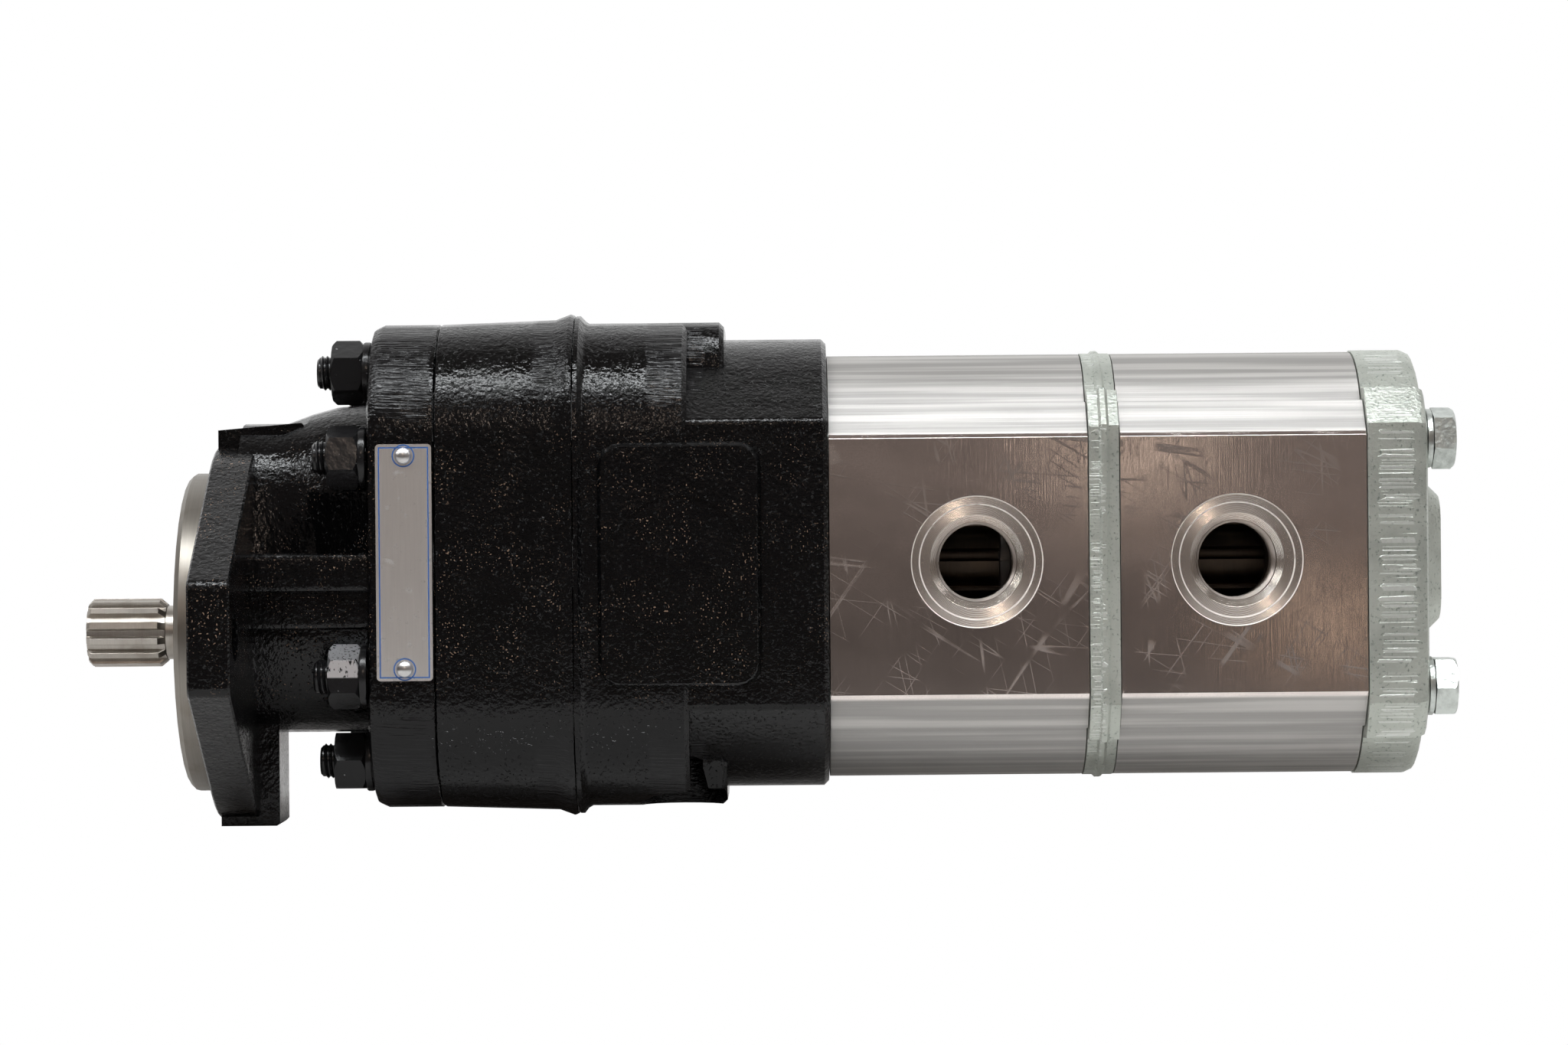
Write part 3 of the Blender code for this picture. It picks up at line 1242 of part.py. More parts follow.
def build_shaft_seal(rubber, steel):
    """Lip seal in the pilot, and the spring ring that holds it there."""
    ring_x0 = X_PILOT + RING_SETBACK + GAP
    seal_x0 = ring_x0 + RING_THICKNESS + GAP
    seal_x1 = seal_x0 + SEAL_WIDTH
    bore = SEAL_LAND_RADIUS + GAP
    seal = turned("shaft_seal", [
        (seal_x0, SEAL_RADIUS),
        (seal_x1, SEAL_RADIUS),
        (seal_x1, SEAL_RADIUS - SEAL_LIP_WALL),
        (seal_x0 + SEAL_LIP_WALL, SEAL_RADIUS - SEAL_LIP_WALL),
        (seal_x0 + SEAL_LIP_WALL, bore + SEAL_LIP_WALL),
        (seal_x1 - SEAL_LIP_WALL, bore + SEAL_LIP_WALL / 2),
        (seal_x1 - SEAL_LIP_WALL, bore),
        (seal_x0, bore + SEAL_LIP_WALL / 2),
    ], facets=JOURNAL_FACETS)
    dress(seal, rubber, (seal_x0, 0.0, 0.0))

    outer = SEAL_RADIUS + RING_GROOVE_DEPTH - GAP
    inner = outer - RING_WIDTH
    half = RING_MOUTH / 2
    start = math.pi / 2 + half
    span = 2 * math.pi - RING_MOUTH
    steps = 22
    points = [(outer * math.cos(start + span * i / steps), outer * math.sin(start + span * i / steps))
              for i in range(steps + 1)]
    lug = inner - RING_LUG_REACH
    lug_turn = RING_LUG_WIDTH / inner
    points.append((lug * math.cos(start + span), lug * math.sin(start + span)))
    points.append((lug * math.cos(start + span - lug_turn), lug * math.sin(start + span - lug_turn)))
    inner_steps = 18
    inner_start = start + lug_turn
    inner_span = span - 2 * lug_turn
    for i in range(inner_steps, -1, -1):
        angle = inner_start + inner_span * i / inner_steps
        points.append((inner * math.cos(angle), inner * math.sin(angle)))
    points.append((lug * math.cos(start + lug_turn), lug * math.sin(start + lug_turn)))
    points.append((lug * math.cos(start), lug * math.sin(start)))
    ring = prism("seal_retaining_ring", points, ring_x0, ring_x0 + RING_THICKNESS)
    dress(ring, steel, (ring_x0, 0.0, 0.0))


def build_studs(steel):
    """Studs from the rear cover through the cast sections, with a nut and washer on each."""
    x0 = X_PLATE - GAP - WASHER_THICKNESS - NUT_HEIGHT - STUD_STICK_OUT
    x1 = X_REAR + STUD_ENGAGEMENT
    radius = STUD_RADIUS
    stud_mesh = turned_mesh("stud", [
        (0.0, 0.0),
        (0.0, radius - STUD_CHAMFER),
        (STUD_CHAMFER, radius),
        (x1 - x0 - STUD_CHAMFER, radius),
        (x1 - x0, radius - STUD_CHAMFER),
        (x1 - x0, 0.0),
    ], facets=STUD_FACETS)
    nut_mesh = hexagon_mesh("nut", NUT_ACROSS_FLATS, NUT_HEIGHT, NUT_CHAMFER, radius + GAP,
                            (WASHER_RADIUS, WASHER_THICKNESS))
    nut_x0 = X_PLATE - GAP - WASHER_THICKNESS - NUT_HEIGHT
    for number, (y, z) in enumerate(stud_places(), start=1):
        stud = add_object(f"stud_{number}", stud_mesh.copy())
        place(stud, steel, (x0, y, z))
        turned_nut = add_object(f"stud_nut_{number}", nut_mesh.copy())
        place(turned_nut, steel, (nut_x0, y, z), NUT_TURNS_DEG[number - 1])


def place(obj, material, location, turn_deg=0.0):
    """Give a copied piece its material, and set it at its place with a turn about X."""
    obj.data.materials.clear()
    obj.data.materials.append(material)
    obj.location = location
    obj.rotation_euler = (math.radians(turn_deg), 0.0, 0.0)


def build_tie_bolts(zinc):
    """Long bolts that hold the aluminium sections to the rear cover."""
    seat = X_END_FACE + GAP
    head_x0 = seat + TIE_WASHER_THICKNESS + GAP
    tip = X_BODY_1 - GAP - TIE_ENGAGEMENT
    head_mesh = hexagon_mesh(
        "tie_head", TIE_HEAD_ACROSS_FLATS, TIE_HEAD_HEIGHT, TIE_HEAD_CHAMFER)
    head_mesh.transform(
        Matrix.Translation((TIE_HEAD_HEIGHT, 0.0, 0.0)) @ Matrix.Rotation(math.pi, 4, "Z"))
    pattern = add_object("tie_pattern", head_mesh, guide=True)
    shank = turned("tie_shank", [
        (tip - head_x0, 0.0),
        (tip - head_x0, TIE_RADIUS - STUD_CHAMFER),
        (tip - head_x0 + STUD_CHAMFER, TIE_RADIUS),
        (TIE_HEAD_HEIGHT / 2, TIE_RADIUS),
        (TIE_HEAD_HEIGHT / 2, 0.0),
    ], facets=STUD_FACETS, guide=True)
    join(pattern, shank)
    bolt_mesh = evaluated_mesh(pattern)
    washer_mesh = tube_mesh(
        "tie_washer", circle(TIE_WASHER_RADIUS, facets=WASHER_FACETS),
        circle(TIE_RADIUS + TIE_CLEARANCE, facets=WASHER_FACETS), 0.0, TIE_WASHER_THICKNESS)
    for number, (y, z) in enumerate(tie_places(), start=1):
        bolt = add_object(f"tie_bolt_{number}", bolt_mesh.copy())
        place(bolt, zinc, (head_x0, y, z), TIE_TURNS_DEG[number - 1])
        place(add_object(f"tie_washer_{number}", washer_mesh.copy()), zinc, (seat, y, z))


def build_face_seals(rubber):
    rear = X_REAR - GAP
    seals = [
        ("housing_front_seal", cast_seal_discs(), X_HOUSING, 1),
        ("housing_rear_seal", cast_seal_discs(), rear, -1),
        ("body_1_front_seal", profile_seal_discs(), X_BODY_1, 1),
        ("body_1_rear_seal", profile_seal_discs(), X_SPACER - GAP, -1),
        ("body_2_front_seal", profile_seal_discs(), X_BODY_2, 1),
        ("body_2_rear_seal", profile_seal_discs(), X_END - GAP, -1),
    ]
    for name, discs, x, inward in seals:
        dress(face_seal(name, discs, x, inward), rubber, (x, 0.0, MID_HEIGHT))


def data_plate_centre():
    x = X_PLATE + DATA_PLATE_SETBACK + DATA_PLATE_WIDTH / 2
    return x, MID_HEIGHT + DATA_PLATE_RAISE


def rivet_places():
    x, z = data_plate_centre()
    reach = DATA_PLATE_HEIGHT / 2 - RIVET_EDGE_DISTANCE
    return [(x, z + reach), (x, z - reach)]


def rivet_rods(name, inner, outer):
    """Guide for the holes that the two rivets pass through, between two distances out."""
    bm = bmesh.new()
    for x, z in rivet_places():
        hole = rod("rivet_hole", inner, outer, RIVET_RADIUS + GAP, facets=STUD_FACETS)
        turn_to_side(hole, x, z, -1)
        bm.from_mesh(hole.data)
        bpy.data.objects.remove(hole, do_unlink=True)
    return add_object(name, finish_mesh(bm, name), guide=True)


def build_data_plate(aluminium):
    """Blank plate on the near side of the front cover, held by two round-headed rivets."""
    x, z = data_plate_centre()
    inner = CAST_HALF_WIDTH + GAP
    outer = inner + DATA_PLATE_THICKNESS
    discs = rounded_box(DATA_PLATE_WIDTH / 2, DATA_PLATE_HEIGHT / 2, DATA_PLATE_CORNER, facets=3)
    plate = plate_across(
        "data_plate", shifted(hull(discs), x, z), (inner, outer), -1, guide=False)
    cut(plate, rivet_rods("plate_holes", inner - OVERCUT, outer + OVERCUT))
    dress(plate, aluminium, (x, -inner, z))
    head = outer + GAP
    for number, (rivet_x, rivet_z) in enumerate(rivet_places(), start=1):
        profile = [(inner - RIVET_LENGTH, 0.0), (inner - RIVET_LENGTH, RIVET_RADIUS),
                   (head, RIVET_RADIUS)]
        for step in range(4):
            angle = math.radians(90.0) * step / 3
            profile.append((head + RIVET_HEAD_HEIGHT * math.sin(angle),
                            RIVET_HEAD_RADIUS * math.cos(angle) if step < 3 else 0.0))
        rivet = turned(f"data_plate_rivet_{number}", profile, facets=STUD_FACETS)
        turn_to_side(rivet, rivet_x, rivet_z, -1)
        dress(rivet, aluminium, (rivet_x, -head, rivet_z))


def axis_empty(name, z):
    """The axis that a set of pieces turns about."""
    empty = bpy.data.objects.new(name, None)
    empty.location = (0.0, 0.0, z)
    bpy.context.collection.objects.link(empty)
    return empty


def main():
    clear_scene()
    iron = make_material("black_cast_iron", (0.012, 0.012, 0.013), 0.28, 0.0)
    aluminium = make_material("extruded_aluminium", (0.55, 0.54, 0.52), 0.38, 1.0)
    plated = make_material("plated_casting", (0.42, 0.46, 0.43), 0.5, 0.7)
    steel = make_material("ground_steel", (0.50, 0.48, 0.45), 0.32, 1.0)
    black_steel = make_material("painted_steel", (0.02, 0.02, 0.021), 0.3, 0.0)
    zinc = make_material("zinc_plated_steel", (0.52, 0.55, 0.54), 0.35, 1.0)
    bronze = make_material("bearing_bronze", (0.45, 0.30, 0.14), 0.4, 1.0)
    rubber = make_material("seal_rubber", (0.02, 0.02, 0.02), 0.7, 0.0)
    plate_metal = make_material("plate_aluminium", (0.62, 0.61, 0.60), 0.42, 1.0)

    drive_axis = axis_empty("drive_axis", 0.0)
    driven_axis = axis_empty("driven_axis", CENTRE_DISTANCE)

    build_front_cover(iron)
    build_gear_housing(iron)
    build_rear_cover(iron)
    build_body("body_1", X_BODY_1, BODY_1_LENGTH, PORT_1_OFFSET, aluminium)
    build_spacer(plated)
    build_body("body_2", X_BODY_2, BODY_2_LENGTH, PORT_2_OFFSET, aluminium)
    build_end_cover(plated)

    build_front_gears(steel, drive_axis, driven_axis)
    bored_plate("front_thrust_plate", X_HOUSING, X_HOUSING + THRUST_PLATE, BUSH_BORE_RADIUS, bronze)
    rear = X_REAR - GAP
    bored_plate("rear_thrust_plate", rear - THRUST_PLATE, rear, BUSH_BORE_RADIUS, bronze)
    build_bushes(bronze)

    stations_1 = section_stations(X_BODY_1, BODY_1_LENGTH, GEAR_1_WIDTH)
    stations_2 = section_stations(X_BODY_2, BODY_2_LENGTH, GEAR_2_WIDTH)
    journal_bore = REAR_JOURNAL_RADIUS + GAP
    for number, stations in ((2, stations_1), (3, stations_2)):
        front_x0, front_x1, _, _, rear_x0, rear_x1 = stations
        bored_plate(f"front_bearing_block_{number}", front_x0, front_x1, journal_bore, aluminium)
        bored_plate(f"rear_bearing_block_{number}", rear_x0, rear_x1, journal_bore, aluminium)
    build_section_gears(
        2, stations_1, X_COUPLING_1 + GAP, X_COUPLING_2 - GAP, steel, drive_axis, driven_axis)
    build_section_gears(3, stations_2, X_COUPLING_2 + GAP, None, steel, drive_axis, driven_axis)
    build_couplings(steel, drive_axis)

    build_shaft_seal(rubber, steel)
    build_face_seals(rubber)
    build_studs(black_steel)
    build_tie_bolts(zinc)
    build_data_plate(plate_metal)


main()
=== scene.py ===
"""Looks of a tandem hydraulic gear pump: its finishes, its fine pieces, its light and camera.

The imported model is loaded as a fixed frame. Castings and extrusions are taken over from it,
with their corners eased and a finish of their own. Nuts, studs, bolts and threads are modelled
here. Every length is in metres, +X runs along the shaft into the pump, and +Z is up.
"""
import json
import logging
import math
from dataclasses import dataclass
from enum import Enum
from typing import Iterable, Optional, Union

import bpy
from mathutils import Matrix, Vector

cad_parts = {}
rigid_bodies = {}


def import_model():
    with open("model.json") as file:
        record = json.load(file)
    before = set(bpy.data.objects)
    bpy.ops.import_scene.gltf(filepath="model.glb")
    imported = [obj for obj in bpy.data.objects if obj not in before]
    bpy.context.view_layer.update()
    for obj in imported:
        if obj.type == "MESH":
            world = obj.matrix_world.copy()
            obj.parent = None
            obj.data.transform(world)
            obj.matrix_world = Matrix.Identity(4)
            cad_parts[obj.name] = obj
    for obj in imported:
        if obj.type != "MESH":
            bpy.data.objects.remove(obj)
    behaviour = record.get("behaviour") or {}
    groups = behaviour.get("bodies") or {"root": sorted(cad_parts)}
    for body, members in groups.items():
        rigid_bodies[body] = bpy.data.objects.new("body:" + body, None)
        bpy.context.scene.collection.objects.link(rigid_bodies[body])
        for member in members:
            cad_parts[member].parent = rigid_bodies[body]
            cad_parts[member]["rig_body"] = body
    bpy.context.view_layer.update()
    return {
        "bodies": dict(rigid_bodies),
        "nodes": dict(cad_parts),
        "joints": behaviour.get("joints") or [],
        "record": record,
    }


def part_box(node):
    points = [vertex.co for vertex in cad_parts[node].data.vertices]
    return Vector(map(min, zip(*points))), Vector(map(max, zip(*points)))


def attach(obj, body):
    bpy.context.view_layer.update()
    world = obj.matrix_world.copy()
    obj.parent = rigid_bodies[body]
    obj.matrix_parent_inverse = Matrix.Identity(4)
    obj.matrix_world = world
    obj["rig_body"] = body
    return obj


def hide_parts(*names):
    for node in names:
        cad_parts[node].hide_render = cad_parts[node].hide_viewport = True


Triple = tuple[float, float, float]
Colour = Triple
Feed = Union[float, Colour, bpy.types.NodeSocket]

LOG = logging.getLogger("pump")

WHITE: Colour = (1.0, 1.0, 1.0)
HOUSING = "housing"

# Least angle between two faces, in degrees, that counts as a corner.
CORNER_DEG = 32.0
RIM_DEG = 60.0
HEXAGON_DEG = 25.0


class Axis(Enum):
    """Axis of the frame, with its place in a vector."""

    X = 0
    Y = 1
    Z = 2


@dataclass(frozen=True)
class Stations:
    """Places along the shaft, and heights, that several pieces share."""

    flange_face: float = 0.0425
    plate_face: float = 0.0935
    mid_height: float = 0.02075
    outlet_2: float = 0.2823
    outlet_3: float = 0.3630
    flat_side: float = 0.0450


PLACES = Stations()


def dimmed(colour: Colour, share: float) -> Colour:
    """Return a colour with each of its parts times a share."""
    return tuple(share * part for part in colour)


class Graph:
    """Node tree of one material, with short calls for the nodes that the finishes share."""

    def __init__(self, name: str) -> None:
        """Start a material that holds only a Principled shader.

        Args:
            name: Name of the material.
        """
        self.material = bpy.data.materials.new(name)
        self.material.use_nodes = True
        self.nodes = self.material.node_tree.nodes
        self.links = self.material.node_tree.links
        self.shader = self.nodes["Principled BSDF"]
        self.place = self.nodes.new("ShaderNodeTexCoord").outputs["Object"]
        self.axes = self.nodes.new("ShaderNodeSeparateXYZ")
        self.links.new(self.place, self.axes.inputs[0])

    def feed(self, socket: bpy.types.NodeSocket, value: Feed) -> None:
        """Link or set one input.

        Args:
            socket: Input to fill.
            value: Output to link, number or colour.
        """
        if isinstance(value, bpy.types.NodeSocket):
            self.links.new(value, socket)
        elif isinstance(value, tuple):
            socket.default_value = (*value, 1.0) if len(socket.default_value) == 4 else value
        else:
            socket.default_value = value

    def axis(self, axis: Axis) -> bpy.types.NodeSocket:
        """Return the coordinate along one axis."""
        return self.axes.outputs[axis.value]

    def math(self, operation: str, *values: Feed) -> bpy.types.NodeSocket:
        """Return the result of one Math node.

        Args:
            operation: Operation of the node, such as MULTIPLY.
            values: One to three inputs.
        """
        node = self.nodes.new("ShaderNodeMath")
        node.operation = operation
        for socket, value in zip(node.inputs, values):
            self.feed(socket, value)
        return node.outputs[0]

    def stretched(self, stretch: Triple, turn: Triple = (0.0, 0.0, 0.0)) -> bpy.types.NodeSocket:
        """Return the object coordinates, stretched and turned.

        Args:
            stretch: Scale along the three axes.
            turn: Turn about the three axes, in radians.
        """
        node = self.nodes.new("ShaderNodeMapping")
        node.vector_type = "TEXTURE"
        self.feed(node.inputs["Vector"], self.place)
        self.feed(node.inputs["Rotation"], turn)
        self.feed(node.inputs["Scale"], tuple(1.0 / part for part in stretch))
        return node.outputs[0]

    def noise(self, size: float, detail: float = 3.0, stretch: Triple = (1.0, 1.0, 1.0),
              turn: Triple = (0.0, 0.0, 0.0)) -> bpy.types.NodeSocket:
        """Return a noise pattern.

        Args:
            size: Length of its lumps, in metres.
            detail: Number of finer layers.
            stretch: Scale along the three axes; below one draws the lumps out.
            turn: Turn of the pattern about the three axes, in radians.
        """
        node = self.nodes.new("ShaderNodeTexNoise")
        self.feed(node.inputs["Vector"], self.stretched(stretch, turn))
        self.feed(node.inputs["Scale"], 1.0 / size)
        self.feed(node.inputs["Detail"], detail)
        return node.outputs[0]

    def spread(self, value: Feed, low: float, high: float) -> bpy.types.NodeSocket:
        """Return a soft step from 0 at low to 1 at high, or falling if low is above high."""
        node = self.nodes.new("ShaderNodeMapRange")
        node.interpolation_type = "SMOOTHSTEP"
        falling = low > high
        bounds = (high, low) if falling else (low, high)
        ends = (1.0, 0.0) if falling else (0.0, 1.0)
        for socket, number in zip(node.inputs[1:5], bounds + ends):
            self.feed(socket, number)
        self.feed(node.inputs[0], value)
        return node.outputs[0]

    def band(self, value: Feed, low: float, high: float, soft: float) -> bpy.types.NodeSocket:
        """Return 1 between two limits and 0 outside them, with soft ends."""
        rise = self.spread(value, low - soft, low + soft)
        fall = self.spread(value, high + soft, high - soft)
        return self.math("MULTIPLY", rise, fall)

    def reach(self, first: Feed, second: Feed) -> bpy.types.NodeSocket:
        """Return the length of a vector with two parts."""
        squares = self.math("ADD", self.math("POWER", first, 2.0), self.math("POWER", second, 2.0))
        return self.math("SQRT", squares)

    def set(self, name: str, value: float) -> None:
        """Set one number of the shader that is the same all over the surface."""
        self.shader.inputs[name].default_value = value

    def mix(self, share: Feed, first: Feed, second: Feed) -> bpy.types.NodeSocket:
        """Return a blend of two colours.

        Args:
            share: Share of the second colour.
            first: First colour.
            second: Second colour.
        """
        node = self.nodes.new("ShaderNodeMix")
        node.data_type = "RGBA"
        self.feed(node.inputs[0], share)
        self.feed(node.inputs[6], first)
        self.feed(node.inputs[7], second)
        return node.outputs[2]

    def blend(self, share: Feed, first: Feed, second: Feed) -> bpy.types.NodeSocket:
        """Return a blend of two numbers, with share as the part of the second."""
        node = self.nodes.new("ShaderNodeMix")
        self.feed(node.inputs[0], share)
        self.feed(node.inputs[2], first)
        self.feed(node.inputs[3], second)
        return node.outputs[0]

    def bump(self, height: Feed, depth: float, strength: Feed = 1.0,
             under: Optional[bpy.types.NodeSocket] = None) -> bpy.types.NodeSocket:
        """Return a normal raised by a height pattern.

        Args:
            height: Pattern from 0 to 1.
            depth: Height of its relief, in metres.
            strength: Share of the relief that shows.
            under: Normal that the relief lies on.
        """
        node = self.nodes.new("ShaderNodeBump")
        self.feed(node.inputs["Strength"], strength)
        self.feed(node.inputs["Distance"], depth)
        self.feed(node.inputs["Height"], height)
        if under is not None:
            self.feed(node.inputs["Normal"], under)
        return node.outputs[0]

    def finish(self, colour: Feed, roughness: Feed, metallic: Feed,
               normal: Optional[bpy.types.NodeSocket] = None) -> bpy.types.Material:
        """Fill the shader and hand the material over.

        Args:
            colour: Base colour.
            roughness: Roughness.
            metallic: Metallic share.
            normal: Normal, where the surface has relief.

        Returns:
            The material.
        """
        self.feed(self.shader.inputs["Base Color"], colour)
        self.feed(self.shader.inputs["Roughness"], roughness)
        self.feed(self.shader.inputs["Metallic"], metallic)
        if normal is not None:
            self.feed(self.shader.inputs["Normal"], normal)
        return self.material


@dataclass(frozen=True)
class CastPaint:
    """Gloss black paint, flowed over the lumps and grinding marks of sand-cast iron."""

    name: str = "black_paint_on_casting"
    paint: Colour = (0.0016, 0.0016, 0.0018)
    bare: Colour = (0.29, 0.27, 0.24)
    # Warm colour of the painted glints: small highlights painted into the paint.
    painted_glint: Colour = (0.21, 0.145, 0.105)
    stain: Colour = (0.16, 0.13, 0.10)
    gloss: float = 0.10
    ground_gloss: float = 0.16
    bare_gloss: float = 0.38
    sheen: float = 0.30
    bare_up_to: Optional[float] = None
    lump_size: float = 0.0065
    lump_depth: float = 0.00030
    hammer_size: float = 0.0014
    hammer_depth: float = 0.00026
    speck_size: float = 0.0011
    speck_depth: float = 0.00036
    groove_size: float = 0.0008
    groove_depth: float = 0.00040
    # Size of the painted glints, and the heights over which they fade out.
    painted_glint_size: float = 0.00062
    painted_glint_heights: tuple[float, float] = (0.046, 0.034)
    ragged: float = 0.020
    ground_runs: tuple[Triple, ...] = (
        (PLACES.plate_face, 0.1130, 0.044), (0.1450, 0.1560, 0.052), (0.1800, 0.1975, 0.050))

    def build(self) -> bpy.types.Material:
        """Build the material. What lies in front of bare_up_to is machined and has no paint."""
        g = Graph(self.name)
        g.set("Specular IOR Level", self.sheen)
        painted: Feed = 1.0
        if self.bare_up_to is not None:
            painted = g.spread(g.axis(Axis.X), self.bare_up_to - 0.0003, self.bare_up_to)
        height = g.math("ABSOLUTE", g.math("SUBTRACT", g.axis(Axis.Z), PLACES.mid_height))
        ground = g.math("MULTIPLY", self.ground(g, height), painted)
        # Painted glints: fine warm highlights mixed into the colour of the paint.
        painted_glints = g.math("MULTIPLY", self.painted_glints(g, height), painted)
        colour = g.mix(ground, self.paint, dimmed(self.paint, 2.2))
        colour = g.mix(painted_glints, colour, self.painted_glint)
        pools = g.spread(g.noise(0.011, 3.0), 0.4, 0.7)
        roughness = g.blend(pools, self.gloss, 1.9 * self.gloss)
        roughness = g.blend(ground, roughness, self.ground_gloss)
        normal = self.relief(g, painted, ground)
        if self.bare_up_to is None:
            return g.finish(colour, roughness, 0.0, normal)
        bare = g.math("SUBTRACT", 1.0, painted)
        colour = g.mix(bare, colour, self.steel(g))
        return g.finish(colour, g.blend(bare, roughness, self.bare_gloss), bare, normal)

    def ground(self, g: Graph, height: Feed) -> Feed:
        """Return 1 where the shoulders were ground, with a ragged lower edge.

        Args:
            g: Material's graph.
            height: Distance above or below the middle.
        """
        ragged = g.math("MULTIPLY", g.noise(0.012, 2.0), self.ragged)
        limit = g.math("ADD", height, g.math("SUBTRACT", ragged, 0.5 * self.ragged))
        ground: Feed = 0.0
        for start, end, low in self.ground_runs:
            run = g.band(g.axis(Axis.X), start, end, 0.0012)
            run = g.math("MULTIPLY", run, g.spread(limit, low, low + 0.004))
            ground = g.math("MAXIMUM", ground, run)
        return ground

    def painted_glints(self, g: Graph, height: Feed) -> Feed:
        """Return 1 in the painted glints, fine warm highlights that keep off the top and the
        bottom.
        """
        painted_glints = g.spread(g.noise(self.painted_glint_size, 0.0), 0.71, 0.80)
        painted_glints = g.math("MULTIPLY", painted_glints, g.spread(g.noise(0.014, 2.0), 0.42, 0.66))
        return g.math("MULTIPLY", painted_glints, g.spread(height, *self.painted_glint_heights))

    def relief(self, g: Graph, painted: Feed, ground: Feed) -> bpy.types.NodeSocket:
        """Return the normal of the flowed paint and of the ground shoulders."""
        kept = g.math("SUBTRACT", 1.0, g.math("MULTIPLY", ground, 0.8))
        flowed = g.math("MULTIPLY", painted, kept)
        grooves = g.noise(self.groove_size, 2.0, (0.05, 1.0, 1.0), (0.0, 0.05, 0.0))
        specks = g.spread(g.noise(self.speck_size, 1.0), 0.63, 0.73)
        normal = g.bump(g.noise(self.lump_size, 2.0), self.lump_depth, painted)
        normal = g.bump(g.noise(self.hammer_size, 2.0), self.hammer_depth, flowed, normal)
        normal = g.bump(specks, self.speck_depth, flowed, normal)
        return g.bump(grooves, self.groove_depth, ground, normal)

    def steel(self, g: Graph) -> bpy.types.NodeSocket:
        """Return the colour of the machined metal, with turning marks and stains."""
        rub = g.noise(0.0004, 2.0, (1.0, 0.02, 0.02))
        steel = g.mix(rub, dimmed(self.bare, 0.75), self.bare)
        stain = g.spread(g.noise(0.009, 3.0), 0.50, 0.72)
        return g.mix(g.math("MULTIPLY", stain, 0.35), steel, self.stain)


@dataclass(frozen=True)
class ThinPaint:
    """The same black paint on nuts and studs, with bare metal where a wrench rubbed it."""

    name: str = "black_paint_on_fastener"
    paint: Colour = (0.008, 0.008, 0.0085)
    bare: Colour = (0.74, 0.74, 0.76)
    sheen: float = 0.35
    rubbed_from: Optional[tuple[float, float]] = None

    def build(self) -> bpy.types.Material:
        """Build the material.

        Where rubbed_from is given, what lies above its height and in front of its station has
        lost its paint.
        """
        g = Graph(self.name)
        g.set("Specular IOR Level", self.sheen)
        flow = g.noise(0.0030, 2.0)
        wear = g.spread(g.noise(0.0016, 3.0), 0.70, 0.76)
        wear = g.math("MULTIPLY", wear, 0.5)
        if self.rubbed_from:
            height, station = self.rubbed_from
            above = g.spread(g.axis(Axis.Z), height - 0.0002, height + 0.0003)
            before = g.spread(g.axis(Axis.X), station, station - 0.0003)
            rubbed = g.math("MULTIPLY", above, before)
            left = g.spread(g.noise(0.0009, 3.0, (1.0, 1.0, 0.4)), 0.36, 0.44)
            wear = g.math("MAXIMUM", wear, g.math("MULTIPLY", rubbed, left))
        colour = g.mix(wear, self.paint, self.bare)
        normal = g.bump(flow, 0.00012)
        return g.finish(colour, g.blend(wear, 0.22, 0.42), wear, normal)


